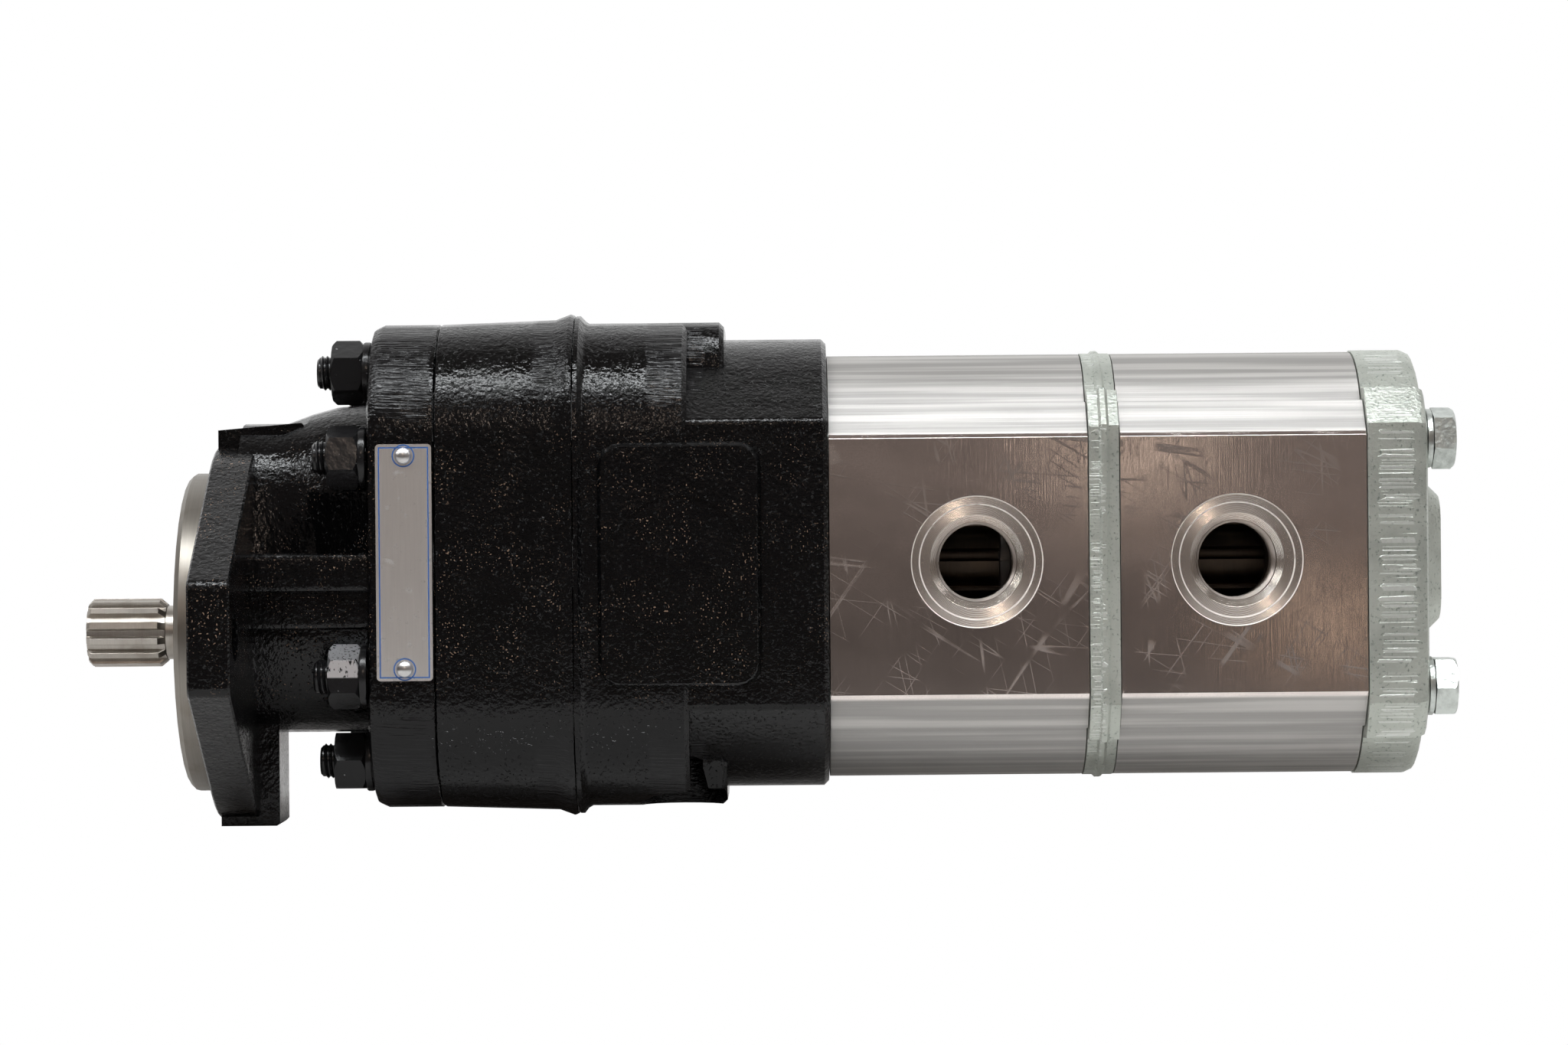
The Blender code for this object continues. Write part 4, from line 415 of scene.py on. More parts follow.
@dataclass(frozen=True)
class Extrusion:
    """Extruded aluminium: brushed lengthwise on its slopes, faintly scratched on its flat sides,
    with painted light and shade.
    """

    name: str = "extruded_aluminium"
    # Painted shade and light: the slopes get a darker colour that holds back the overhead lamp, and
    # the flat sides a brighter, warmer one for the dim room that they reflect.
    shaded_slope: Colour = (0.47, 0.46, 0.445)
    flat: Colour = (0.96, 0.88, 0.84)
    machined: Colour = (0.92, 0.86, 0.80)
    # Painted shade inside the ports, past their seats.
    painted_bore_shade: Colour = (0.10, 0.088, 0.078)
    # Colour of the real scratches, and of the painted highlights on the port rings.
    scratch_and_highlight: Colour = (1.0, 0.97, 0.94)
    ports: tuple[float, ...] = (PLACES.outlet_2, PLACES.outlet_3)
    port_side: float = 0.0310
    face_radius: float = 0.0205
    ring_radius: float = 0.0179
    seat_radius: float = 0.0147
    inner_side: float = 0.0412
    rings_a_metre: float = 16000.0
    scratch_runs: tuple[tuple[float, float], ...] = (
        (0.55, 0.0046), (-0.95, 0.0052), (1.35, 0.0043), (0.12, 0.0060))

    def build(self) -> bpy.types.Material:
        """Build the material.

        The flat sides are told from the slopes by how far out they lie, and the machined ports
        lie round their stations.
        """
        g = Graph(self.name)
        out = g.math("ABSOLUTE", g.axis(Axis.Y))
        flat = g.spread(out, PLACES.flat_side - 0.0016, PLACES.flat_side - 0.0006)
        up = g.math("SUBTRACT", g.axis(Axis.Z), PLACES.mid_height)
        radius: Feed = 1.0
        for port in self.ports:
            across = g.math("SUBTRACT", g.axis(Axis.X), port)
            radius = g.math("MINIMUM", radius, g.reach(across, up))
        turned = g.spread(radius, self.face_radius + 0.0002, self.face_radius - 0.0001)
        turned = g.math("MULTIPLY", turned, g.spread(out, self.port_side - 0.0010, self.port_side))
        # Painted shade: darkens the bore past the seat.
        painted_bore_shade = g.math("MULTIPLY", g.spread(radius, self.seat_radius, self.seat_radius - 0.0006),
                      g.spread(out, self.inner_side, self.inner_side - 0.0040))
        rings = g.math("SINE", g.math("MULTIPLY", radius, self.rings_a_metre))
        # Painted highlights: thin bright rings at the edge of the machined face and at its ring.
        painted_ring_highlights = g.math(
            "MAXIMUM",
            g.band(radius, self.face_radius - 0.00025, self.face_radius + 0.00005, 0.0001),
            g.band(radius, self.ring_radius - 0.00020, self.ring_radius + 0.00020, 0.0001))
        painted_ring_highlights = g.math("MULTIPLY", painted_ring_highlights, flat)
        drawn = g.noise(0.00060, 3.0, (0.010, 1.0, 1.0))
        bands = g.noise(0.0032, 2.0, (0.02, 1.0, 1.0))
        cloud = g.noise(0.016, 4.0, (0.6, 1.0, 1.0))
        grain = g.noise(0.00045, 2.0)
        brushed = g.noise(0.00035, 2.0, (1.0, 1.0, 0.03))
        scratches: Feed = 0.0
        for turn, size in self.scratch_runs:
            scratches = g.math("MAXIMUM", scratches, self.scratches(g, turn, size))
        # Slopes in their darker colour of painted shade, flat sides in their brighter colour of
        # painted light.
        shaded_slope = g.mix(drawn, dimmed(self.shaded_slope, 0.72), self.shaded_slope)
        shaded_slope = g.mix(g.spread(bands, 0.40, 0.66), shaded_slope, dimmed(self.shaded_slope, 1.22))
        lit_flat_colour = g.mix(g.spread(cloud, 0.3, 0.7), dimmed(self.flat, 0.84), self.flat)
        lit_flat_colour = g.mix(g.spread(grain, 0.45, 0.8), lit_flat_colour, dimmed(self.flat, 0.80))
        lit_flat_colour = g.mix(g.math("MULTIPLY", scratches, 0.15), lit_flat_colour, self.scratch_and_highlight)
        colour = g.mix(flat, shaded_slope, lit_flat_colour)
        colour = g.mix(turned, colour, self.machined)
        colour = g.mix(g.math("MULTIPLY", painted_ring_highlights, 0.8), colour, self.scratch_and_highlight)
        colour = g.mix(painted_bore_shade, colour, self.painted_bore_shade)
        roughness = g.blend(flat, g.blend(drawn, 0.48, 0.66), g.blend(brushed, 0.10, 0.14))
        roughness = g.blend(turned, roughness, 0.20)
        roughness = g.blend(painted_ring_highlights, roughness, 0.62)
        roughness = g.blend(g.math("MULTIPLY", scratches, flat), roughness, 0.26)
        sides = g.math("SUBTRACT", 1.0, flat)
        normal = g.bump(drawn, 0.00006, sides)
        normal = g.bump(brushed, 0.000012, flat, normal)
        normal = g.bump(scratches, 0.000004, flat, normal)
        normal = g.bump(rings, 0.000015, turned, normal)
        return g.finish(colour, roughness, 1.0, normal)

    @staticmethod
    def scratches(g: Graph, turn: float, size: float) -> bpy.types.NodeSocket:
        """Return thin broken lines that all run one way.

        Args:
            g: Material's graph.
            turn: Turn of the lines in the flat side, in radians.
            size: Distance between neighbouring lines, in metres.

        Returns:
            The pattern, 1 on a line.
        """
        lines = g.noise(size, 0.0, (0.04, 1.0, 1.0), (0.0, turn, 0.0))
        ridge = g.math("ABSOLUTE", g.math("SUBTRACT", lines, 0.5))
        broken = g.spread(g.noise(0.014, 1.0), 0.46, 0.62)
        return g.math("MULTIPLY", g.spread(ridge, 0.013, 0.004), broken)


@dataclass(frozen=True)
class PlatedCasting:
    """Pale grey-green plating over a fine casting, with rows of trimming marks."""

    name: str = "plated_casting"
    colour: Colour = (0.53, 0.56, 0.51)
    dark: Colour = (0.24, 0.27, 0.24)
    mark: Colour = (0.80, 0.82, 0.79)
    row: tuple[float, float] = (0.4075, 0.4180)
    ragged: float = 0.006

    def build(self) -> bpy.types.Material:
        """Build the material. The marks lie between the two stations of row."""
        g = Graph(self.name)
        grain = g.noise(0.0010, 3.0)
        stain = g.noise(0.014, 4.0)
        colour = g.mix(g.spread(stain, 0.35, 0.75), self.colour, dimmed(self.colour, 0.80))
        colour = g.mix(g.spread(grain, 0.56, 0.74), colour, self.dark)
        ragged = g.math("MULTIPLY", g.noise(0.0016, 1.0, (0.01, 1.0, 1.0)), self.ragged)
        low, high = (station - 0.5 * self.ragged for station in self.row)
        start = g.math("SUBTRACT", g.axis(Axis.X), g.math("ADD", ragged, low))
        end = g.math("SUBTRACT", g.math("ADD", ragged, high), g.axis(Axis.X))
        row = g.math("MULTIPLY", g.spread(start, -0.0002, 0.0002), g.spread(end, -0.0002, 0.0002))
        ticks = g.spread(g.noise(0.00055, 0.0, (0.010, 1.0, 1.0)), 0.52, 0.60)
        clusters = g.spread(g.noise(0.010, 1.0, (0.1, 1.0, 1.0)), 0.36, 0.46)
        marks = g.math("MULTIPLY", g.math("MULTIPLY", row, ticks), clusters)
        colour = g.mix(g.math("MULTIPLY", marks, 0.55), colour, self.mark)
        normal = g.bump(g.noise(0.0040, 2.0), 0.00025)
        normal = g.bump(grain, 0.00016, 1.0, normal)
        normal = g.bump(marks, 0.00012, 1.0, normal)
        return g.finish(colour, g.blend(grain, 0.32, 0.50), 0.75, normal)


@dataclass(frozen=True)
class GroundSteel:
    """Ground or turned steel with fine rings round the shaft."""

    name: str = "ground_steel"
    colour: Colour = (0.46, 0.43, 0.39)
    film: Colour = (0.20, 0.16, 0.12)
    roughness: float = 0.30
    oil: float = 0.35

    def build(self) -> bpy.types.Material:
        """Build the material, darkened in patches by old oil."""
        g = Graph(self.name)
        rings = g.noise(0.0004, 2.0, (1.0, 0.03, 0.03))
        film = g.spread(g.noise(0.007, 3.0), 0.40, 0.70)
        colour = g.mix(rings, dimmed(self.colour, 0.8), self.colour)
        colour = g.mix(g.math("MULTIPLY", film, self.oil), colour, self.film)
        normal = g.bump(rings, 0.00002)
        return g.finish(colour, g.blend(film, self.roughness, self.roughness + 0.1), 1.0, normal)


@dataclass(frozen=True)
class ZincPlate:
    """Satin zinc on the tie bolts and their washers."""

    name: str = "zinc_plate"
    colour: Colour = (0.62, 0.66, 0.63)

    def build(self) -> bpy.types.Material:
        """Build the material, with dull patches and fine dents."""
        g = Graph(self.name)
        patches = g.noise(0.0040, 4.0)
        colour = g.mix(g.spread(patches, 0.4, 0.7), self.colour, dimmed(self.colour, 0.72))
        normal = g.bump(g.noise(0.0018, 3.0), 0.00022)
        return g.finish(colour, g.blend(patches, 0.24, 0.46), 1.0, normal)


@dataclass(frozen=True)
class PrintedSheet:
    """Satin sheet of the blank data plate, with its edge and its rivet rings printed in blue."""

    name: str = "printed_sheet"
    sheet: Colour = (0.84, 0.82, 0.80)
    ink: Colour = (0.02, 0.10, 0.33)
    worn: Colour = (0.22, 0.21, 0.20)
    centre: tuple[float, float] = (0.10535, 0.02215)
    half_size: tuple[float, float] = (0.00865, 0.0365)
    margin: float = 0.0011
    line: float = 0.00022
    soft: float = 0.00006
    rivets: tuple[float, float] = (-0.01075, 0.05505)
    ring: float = 0.0033

    def build(self) -> bpy.types.Material:
        """Build the material, with a printed frame and a ring round each rivet."""
        g = Graph(self.name)
        across = g.math("SUBTRACT", g.axis(Axis.X), self.centre[0])
        up = g.math("SUBTRACT", g.axis(Axis.Z), self.centre[1])
        inside_x = g.math("SUBTRACT", self.half_size[0] - self.margin, g.math("ABSOLUTE", across))
        inside_z = g.math("SUBTRACT", self.half_size[1] - self.margin, g.math("ABSOLUTE", up))
        inside = g.math("MINIMUM", inside_x, inside_z)
        ink = g.band(inside, -self.line, self.line, self.soft)
        for rivet in self.rivets:
            rise = g.math("SUBTRACT", g.axis(Axis.Z), rivet)
            ring = g.math("SUBTRACT", g.reach(across, rise), self.ring)
            ink = g.math("MAXIMUM", ink, g.band(ring, -self.line, self.line, self.soft))
        brushed = g.noise(0.0005, 2.0, (1.0, 1.0, 0.04))
        worn = g.spread(g.noise(0.0030, 4.0), 0.60, 0.72)
        sheet = g.mix(brushed, dimmed(self.sheet, 0.84), self.sheet)
        sheet = g.mix(g.math("MULTIPLY", worn, 0.5), sheet, self.worn)
        colour = g.mix(ink, sheet, self.ink)
        metal = g.math("SUBTRACT", 1.0, ink)
        return g.finish(colour, g.blend(worn, 0.38, 0.55), metal, g.bump(brushed, 0.00002))


@dataclass(frozen=True)
class PlainFinish:
    """A finish for inner pieces: one colour with a fine grain and clouds of wear."""

    name: str
    colour: Colour
    roughness: float
    metallic: float

    def build(self) -> bpy.types.Material:
        """Build the material."""
        g = Graph(self.name)
        cloud = g.noise(0.006, 3.0)
        colour = g.mix(cloud, dimmed(self.colour, 0.75), self.colour)
        rough = g.blend(cloud, self.roughness, min(1.0, self.roughness + 0.12))
        return g.finish(colour, rough, self.metallic, g.bump(g.noise(0.0007), 0.00003))


class Bench:
    """Modelling steps that are done by operators, as by hand."""

    overshoot = 0.001
    bore_gap = 0.0004
    lens_margin = 0.02
    root_overlap = 0.15
    half_ridge = 0.44
    merge_distance = 0.000004
    flat_deg = 0.4

    @staticmethod
    def only(obj: bpy.types.Object) -> None:
        """Make one object the selected and active one."""
        bpy.ops.object.select_all(action="DESELECT")
        obj.select_set(True)
        bpy.context.view_layer.objects.active = obj

    @staticmethod
    def rod(name: str, radius: float, x0: float, x1: float, y: float = 0.0, z: float = 0.0,
            sides: int = 32, turn: float = 0.0) -> bpy.types.Object:
        """Add a rod or prism that lies along the shaft.

        Args:
            name: Name of the object.
            radius: Radius to its corners.
            x0: Station of its front end.
            x1: Station of its rear end.
            y: Place of its axis to the side.
            z: Height of its axis.
            sides: Number of sides.
            turn: Turn about its axis, in radians.
        """
        bpy.ops.object.select_all(action="DESELECT")
        lie = Matrix.Rotation(turn, 3, "X") @ Matrix.Rotation(math.pi / 2, 3, "Y")
        bpy.ops.mesh.primitive_cylinder_add(
            vertices=sides, radius=radius, depth=x1 - x0, rotation=lie.to_euler(),
            location=((x0 + x1) / 2, y, z))
        obj = bpy.context.active_object
        obj.name = name
        bpy.ops.object.transform_apply(location=True, rotation=True, scale=True)
        return obj

    @staticmethod
    def hexagon(name: str, flats: float, span: tuple[float, float], y: float, z: float,
                turn_deg: float, chamfer: float, lens_start: float) -> bpy.types.Object:
        """Model a hexagon whose corners are cut back by a round lens.

        Args:
            name: Name of the object.
            flats: Distance between two flats.
            span: Stations of its front and rear end.
            y: Place of its axis to the side.
            z: Height of its axis.
            turn_deg: Turn about its axis, in degrees.
            chamfer: Width of the chamfer.
            lens_start: Station of the lens's front end. Where it lies ahead, that end stays full.
        """
        corner = flats / math.sqrt(3)
        piece = Bench.rod(name, corner, *span, y, z, 6, math.radians(turn_deg))
        wide = (1.0 + Bench.lens_margin) * corner
        lens = Bench.rod("hexagon_lens", wide, lens_start, span[1], y, z, 48)
        Bench.ease(lens, chamfer + Bench.lens_margin * corner, 1, RIM_DEG)
        Bench.carve(piece, lens, "INTERSECT")
        return piece

    @staticmethod
    def drill(obj: bpy.types.Object, radius: float, x0: float, x1: float, y: float,
              z: float) -> None:
        """Cut a round hole right through, along the shaft."""
        tool = Bench.rod("hole", radius, x0 - Bench.overshoot, x1 + Bench.overshoot, y, z, 28)
        Bench.carve(obj, tool, "DIFFERENCE")

    @staticmethod
    def modify(obj: bpy.types.Object, kind: str, **settings: object) -> None:
        """Add a modifier with its settings, and apply it."""
        Bench.only(obj)
        modifier = obj.modifiers.new(kind.lower(), kind)
        for key, value in settings.items():
            setattr(modifier, key, value)
        bpy.ops.object.modifier_apply(modifier=modifier.name)

    @staticmethod
    def carve(obj: bpy.types.Object, tool: bpy.types.Object, operation: str) -> None:
        """Combine an object with a tool object, which is used up."""
        Bench.modify(obj, "BOOLEAN", operation=operation, solver="EXACT", object=tool)
        bpy.data.objects.remove(tool, do_unlink=True)

    @staticmethod
    def ease(obj: bpy.types.Object, width: float, segments: int = 2,
             angle: float = CORNER_DEG) -> None:
        """Round the corners sharper than an angle.

        Args:
            obj: Object to change.
            width: Width of the rounding.
            segments: Number of strips across it.
            angle: Least angle between two faces, in degrees.
        """
        Bench.modify(
            obj, "BEVEL", width=width, segments=segments, limit_method="ANGLE",
            angle_limit=math.radians(angle), use_clamp_overlap=True, harden_normals=False)

    @staticmethod
    def smooth(obj: bpy.types.Object, angle: float = CORNER_DEG) -> None:
        """Shade an object smooth, except across corners sharper than an angle in degrees.

        The large faces keep their own direction, and only the strips between them turn.
        """
        Bench.only(obj)
        bpy.ops.object.shade_smooth_by_angle(angle=math.radians(angle))
        Bench.modify(obj, "WEIGHTED_NORMAL", weight=100, keep_sharp=True)

    @staticmethod
    def join(parts: list[bpy.types.Object]) -> bpy.types.Object:
        """Join objects into the first one, and return it."""
        bpy.ops.object.select_all(action="DESELECT")
        for part in parts:
            part.select_set(True)
        bpy.context.view_layer.objects.active = parts[0]
        bpy.ops.object.join()
        return parts[0]

    @staticmethod
    def copy(obj: bpy.types.Object, name: str, shift: Vector) -> bpy.types.Object:
        """Copy an object with a mesh of its own, and shift the mesh."""
        twin = obj.copy()
        twin.data = obj.data.copy()
        twin.name = name
        bpy.context.scene.collection.objects.link(twin)
        Bench.only(twin)
        bpy.ops.object.mode_set(mode="EDIT")
        bpy.ops.mesh.select_all(action="SELECT")
        bpy.ops.transform.translate(value=shift)
        bpy.ops.object.mode_set(mode="OBJECT")
        return twin

    @staticmethod
    def clean_copy(node: bpy.types.Object, name: str) -> bpy.types.Object:
        """Copy a node of the frame, and join its loose triangles into whole faces."""
        twin = bpy.data.objects.new(name, node.data.copy())
        bpy.context.scene.collection.objects.link(twin)
        Bench.only(twin)
        bpy.ops.object.mode_set(mode="EDIT")
        bpy.ops.mesh.select_all(action="SELECT")
        bpy.ops.mesh.remove_doubles(threshold=Bench.merge_distance)
        bpy.ops.mesh.dissolve_limited(angle_limit=math.radians(Bench.flat_deg))
        bpy.ops.object.mode_set(mode="OBJECT")
        return twin

    @staticmethod
    def thread(name: str, radius: float, depth: float, pitch: float, turns: int,
               inward: bool = False, steps: int = 28) -> bpy.types.Object:
        """Wind a screw thread round the X axis, from x = 0.

        Args:
            name: Name of the object.
            radius: Radius that the ridge stands on.
            depth: Height of the ridge.
            pitch: Distance between its turns.
            turns: Number of turns.
            inward: Whether it points at the axis, as in a nut.
            steps: Number of steps in a turn.

        Returns:
            The ridge, closed at both ends.
        """
        reach = -depth if inward else depth
        bpy.ops.object.select_all(action="DESELECT")
        bpy.ops.mesh.primitive_circle_add(vertices=3, radius=depth, fill_type="NOTHING")
        obj = bpy.context.active_object
        obj.name = name
        base = radius - Bench.root_overlap * reach
        half = Bench.half_ridge * pitch
        ridge = ((-half, base), (0.0, radius + reach), (half, base))
        for vert, (x, y) in zip(obj.data.vertices, ridge):
            vert.co = (x, y, 0.0)
        Bench.modify(
            obj, "SCREW", axis="X", angle=2 * math.pi, screw_offset=pitch, iterations=turns,
            steps=steps, render_steps=steps, use_merge_vertices=False)
        bpy.ops.object.mode_set(mode="EDIT")
        bpy.ops.mesh.select_all(action="SELECT")
        bpy.ops.mesh.fill_holes(sides=3)
        bpy.ops.mesh.select_all(action="SELECT")
        bpy.ops.mesh.normals_make_consistent(inside=False)
        bpy.ops.object.mode_set(mode="OBJECT")
        return obj

    @staticmethod
    def hand_over(obj: bpy.types.Object, material: bpy.types.Material, body: str, slot: str,
                  *nodes: str) -> None:
        """Give a piece its finish and its body, and hide the nodes that it stands for.

        Args:
            obj: Finished piece.
            material: Its material.
            body: Body that it rides on.
            slot: Not used.
            nodes: Nodes that it stands for.
        """
        obj.data.materials.clear()
        obj.data.materials.append(material)
        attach(obj, body)
        if nodes:
            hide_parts(*nodes)
        LOG.info("%s: %d faces, rides on %s", obj.name, len(obj.data.polygons), body)


@dataclass
class Dressing:
    """How a group of nodes is taken over from the frame."""

    nodes: tuple[str, ...]
    finish: object
    slot: str
    ease: float = 0.0
    segments: int = 2


@dataclass
class TakenOver:
    """Castings, extrusions, gears and inner pieces whose shape comes from the frame."""

    frame: dict
    groups: list[Dressing]

    def build(self) -> None:
        """Take over every group, with eased corners where a width is given."""
        for group in self.groups:
            material = group.finish.build()
            for node in group.nodes:
                source = self.frame["nodes"][node]
                piece = Bench.clean_copy(source, f"{node}_finished")
                if group.ease:
                    Bench.ease(piece, group.ease, group.segments)
                Bench.smooth(piece)
                Bench.hand_over(piece, material, source["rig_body"], group.slot, node)


@dataclass
class StudSet:
    """Eight studs with their nuts and washers on the plate of the front cover."""

    count: int = 8
    core_radius: float = 0.00490
    thread_depth: float = 0.00062
    pitch: float = 0.00150
    across_flats: float = 0.0175
    chamfer: float = 0.0012
    washer_radius: float = 0.0096
    washer_thickness: float = 0.0024
    end_chamfer: float = 0.0007
    nut_edge: float = 0.00035
    washer_edge: float = 0.0006
    turns: int = 4
    turns_deg: tuple[float, ...] = (30.0, 14.0, 22.0, 34.0, 28.0, 57.0, 41.0, 31.0)
    rubbed: tuple[int, ...] = (5,)

    def build(self) -> None:
        """Model one stud and one nut, and copy them to the eight places."""
        paint = ThinPaint().build()
        stud = self.stud()
        for number in range(1, self.count + 1):
            low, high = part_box(f"stud_{number}")
            place = Vector((low.x, (low.y + high.y) / 2, (low.z + high.z) / 2))
            twin = Bench.copy(stud, f"threaded_stud_{number}", place)
            Bench.smooth(twin)
            Bench.hand_over(twin, paint, HOUSING, "painted_steel", f"stud_{number}")
            nut = self.nut(number, place)
            finish = paint
            if number in self.rubbed:
                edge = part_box(f"stud_nut_{number}")[1].x - self.washer_thickness
                finish = ThinPaint(
                    name="rubbed_paint_on_fastener", rubbed_from=(place.z, edge)).build()
            Bench.hand_over(nut, finish, HOUSING, "painted_steel", f"stud_nut_{number}")
            LOG.info("nut %d at y %.4f z %.4f", number, place.y, place.z)
        bpy.data.objects.remove(stud, do_unlink=True)

    def stud(self) -> bpy.types.Object:
        """Model a stud that starts at the origin, with its thread on the end that shows."""
        low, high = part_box("stud_1")
        length = high.x - low.x
        core = Bench.rod("stud_pattern", self.core_radius, 0.0, length, sides=28)
        Bench.ease(core, self.end_chamfer, 1, RIM_DEG)
        thread = Bench.thread(
            "stud_thread", self.core_radius, self.thread_depth, self.pitch, self.turns)
        Bench.only(thread)
        thread.location.x = 0.75 * self.pitch
        bpy.ops.object.transform_apply(location=True)
        return Bench.join([core, thread])

    def nut(self, number: int, place: Vector) -> bpy.types.Object:
        """Model a hexagon nut with its washer, on the stud of the same number.

        Args:
            number: Number of its stud, from 1.
            place: Front end of its stud.
        """
        low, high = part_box(f"stud_nut_{number}")
        seat = high.x - self.washer_thickness
        nut = Bench.hexagon(f"nut_{number}", self.across_flats, (low.x, seat), place.y, place.z,
                            self.turns_deg[number - 1], self.chamfer, low.x)
        Bench.drill(nut, self.core_radius + Bench.bore_gap, low.x, seat, place.y, place.z)
        Bench.ease(nut, self.nut_edge, 2, HEXAGON_DEG)
        washer = Bench.rod("washer", self.washer_radius, seat, high.x, place.y, place.z, 40)
        Bench.ease(washer, self.washer_edge, 2, RIM_DEG)
        nut = Bench.join([nut, washer])
        Bench.smooth(nut)
        return nut


@dataclass
class TieBolts:
    """Four long bolts with their washers on the end cover."""

    count: int = 4
    radius: float = 0.0050
    across_flats: float = 0.0170
    head: float = 0.0068
    chamfer: float = 0.0011
    end_chamfer: float = 0.0008
    head_edge: float = 0.0004
    washer_edge: float = 0.0003
    washer_gap: float = 0.0003
    turns_deg: tuple[float, ...] = (6.0, 20.0, 3.0, 25.0)

    def build(self) -> None:
        """Model each bolt and washer at its place."""
        zinc = ZincPlate().build()
        for number in range(1, self.count + 1):
            name = f"tie_bolt_{number}"
            low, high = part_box(name)
            y = (low.y + high.y) / 2
            z = (low.z + high.z) / 2
            seat = high.x - self.head
            head = Bench.hexagon(
                f"hex_bolt_{number}", self.across_flats, (seat, high.x), y, z,
                self.turns_deg[number - 1], self.chamfer, seat - self.chamfer)
            Bench.ease(head, self.head_edge, 2, HEXAGON_DEG)
            shank = Bench.rod("shank", self.radius, low.x, seat, y, z, 28)
            Bench.ease(shank, self.end_chamfer, 1, RIM_DEG)
            bolt = Bench.join([head, shank])
            Bench.smooth(bolt)
            Bench.hand_over(bolt, zinc, HOUSING, "zinc_plated_steel", name)
            self.washer(number, y, z, zinc)

    def washer(self, number: int, y: float, z: float, zinc: bpy.types.Material) -> None:
        """Model the washer under one head.

        Args:
            number: Number of the bolt, from 1.
            y: Place of its axis to the side.
            z: Height of its axis.
            zinc: Its material.
        """
        name = f"tie_washer_{number}"
        low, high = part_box(name)
        washer = Bench.rod(f"flat_washer_{number}", (high.y - low.y) / 2, low.x, high.x, y, z, 40)
        Bench.drill(washer, self.radius + self.washer_gap, low.x, high.x, y, z)
        Bench.ease(washer, self.washer_edge, 2, RIM_DEG)
        Bench.smooth(washer)
        Bench.hand_over(washer, zinc, HOUSING, "zinc_plated_steel", name)


@dataclass
class PortThreads:
    """Screw threads in the two outlets that show."""

    cut_metal: Colour = (0.55, 0.50, 0.46)
    stations: tuple[float, ...] = (PLACES.outlet_2, PLACES.outlet_3)
    radius: float = 0.01245
    depth: float = 0.00075
    pitch: float = 0.00180
    turns: int = 8
    mouth: float = 0.0405

    def build(self) -> None:
        """Wind a thread in each outlet, from its mouth inwards."""
        metal = GroundSteel(
            name="cut_thread", colour=self.cut_metal, roughness=0.28, oil=0.2).build()
        for number, station in enumerate(self.stations, start=2):
            thread = Bench.thread(
                f"outlet_thread_{number}", self.radius, self.depth, self.pitch, self.turns,
                inward=True, steps=40)
            Bench.only(thread)
            thread.rotation_euler.z = math.pi / 2
            thread.location = (station, -self.mouth, PLACES.mid_height)
            bpy.ops.object.transform_apply(location=True, rotation=True, scale=True)
            Bench.smooth(thread, 50.0)
            Bench.hand_over(thread, metal, HOUSING, "extruded_aluminium")


@dataclass(frozen=True)
class Lamp:
    """One soft lamp: its place, aim, width and height, power in watts and colour."""

    name: str
    place: Triple
    aim: Triple
    size: tuple[float, float]
    power: float
    colour: Colour = WHITE

    def hang(self) -> None:
        """Hang the lamp at its place."""
        data = bpy.data.lights.new(self.name, "AREA")
        data.shape = "RECTANGLE"
        data.size, data.size_y = self.size
        data.energy = self.power
        data.color = self.colour
        lamp = bpy.data.objects.new(self.name, data)
        bpy.context.scene.collection.objects.link(lamp)
        lamp.location = self.place
        heading = Vector(self.aim) - Vector(self.place)
        lamp.rotation_euler = heading.to_track_quat("-Z", "Y").to_euler()


COOL: Colour = (0.95, 0.98, 1.0)

# Two long lamps, one at each side, and three small warm ones in front.
LAMPS = (
    Lamp("overhead", (0.22, -0.52, 0.89), (0.22, 0.0, 0.03), (1.6, 0.14), 13.0, COOL),
    Lamp("before", (0.22, -0.74, 0.78), (0.22, 0.0, 0.03), (1.3, 0.04), 1.8, COOL),
    Lamp("left", (-1.1, -0.55, 0.75), (0.1, 0.0, 0.02), (0.4, 0.5), 3.0),
    Lamp("right", (1.6, -0.45, 0.8), (0.35, 0.0, 0.02), (0.4, 0.5), 2.0),
    Lamp("warm_low", (0.607, -1.7, -0.045), (0.38, 0.0, 0.0), (0.022, 0.050), 0.010,
         (1.0, 0.72, 0.52)),
    Lamp("warm_glint", (0.465, -1.7, 0.079), (0.33, 0.0, 0.054), (0.024, 0.028), 0.010,
         (1.0, 0.80, 0.64)),
    Lamp("warm_high", (0.05, -1.9, 0.75), (0.1, 0.0, 0.02), (0.07, 0.07), 1.3,
         (1.0, 0.80, 0.66)),
)


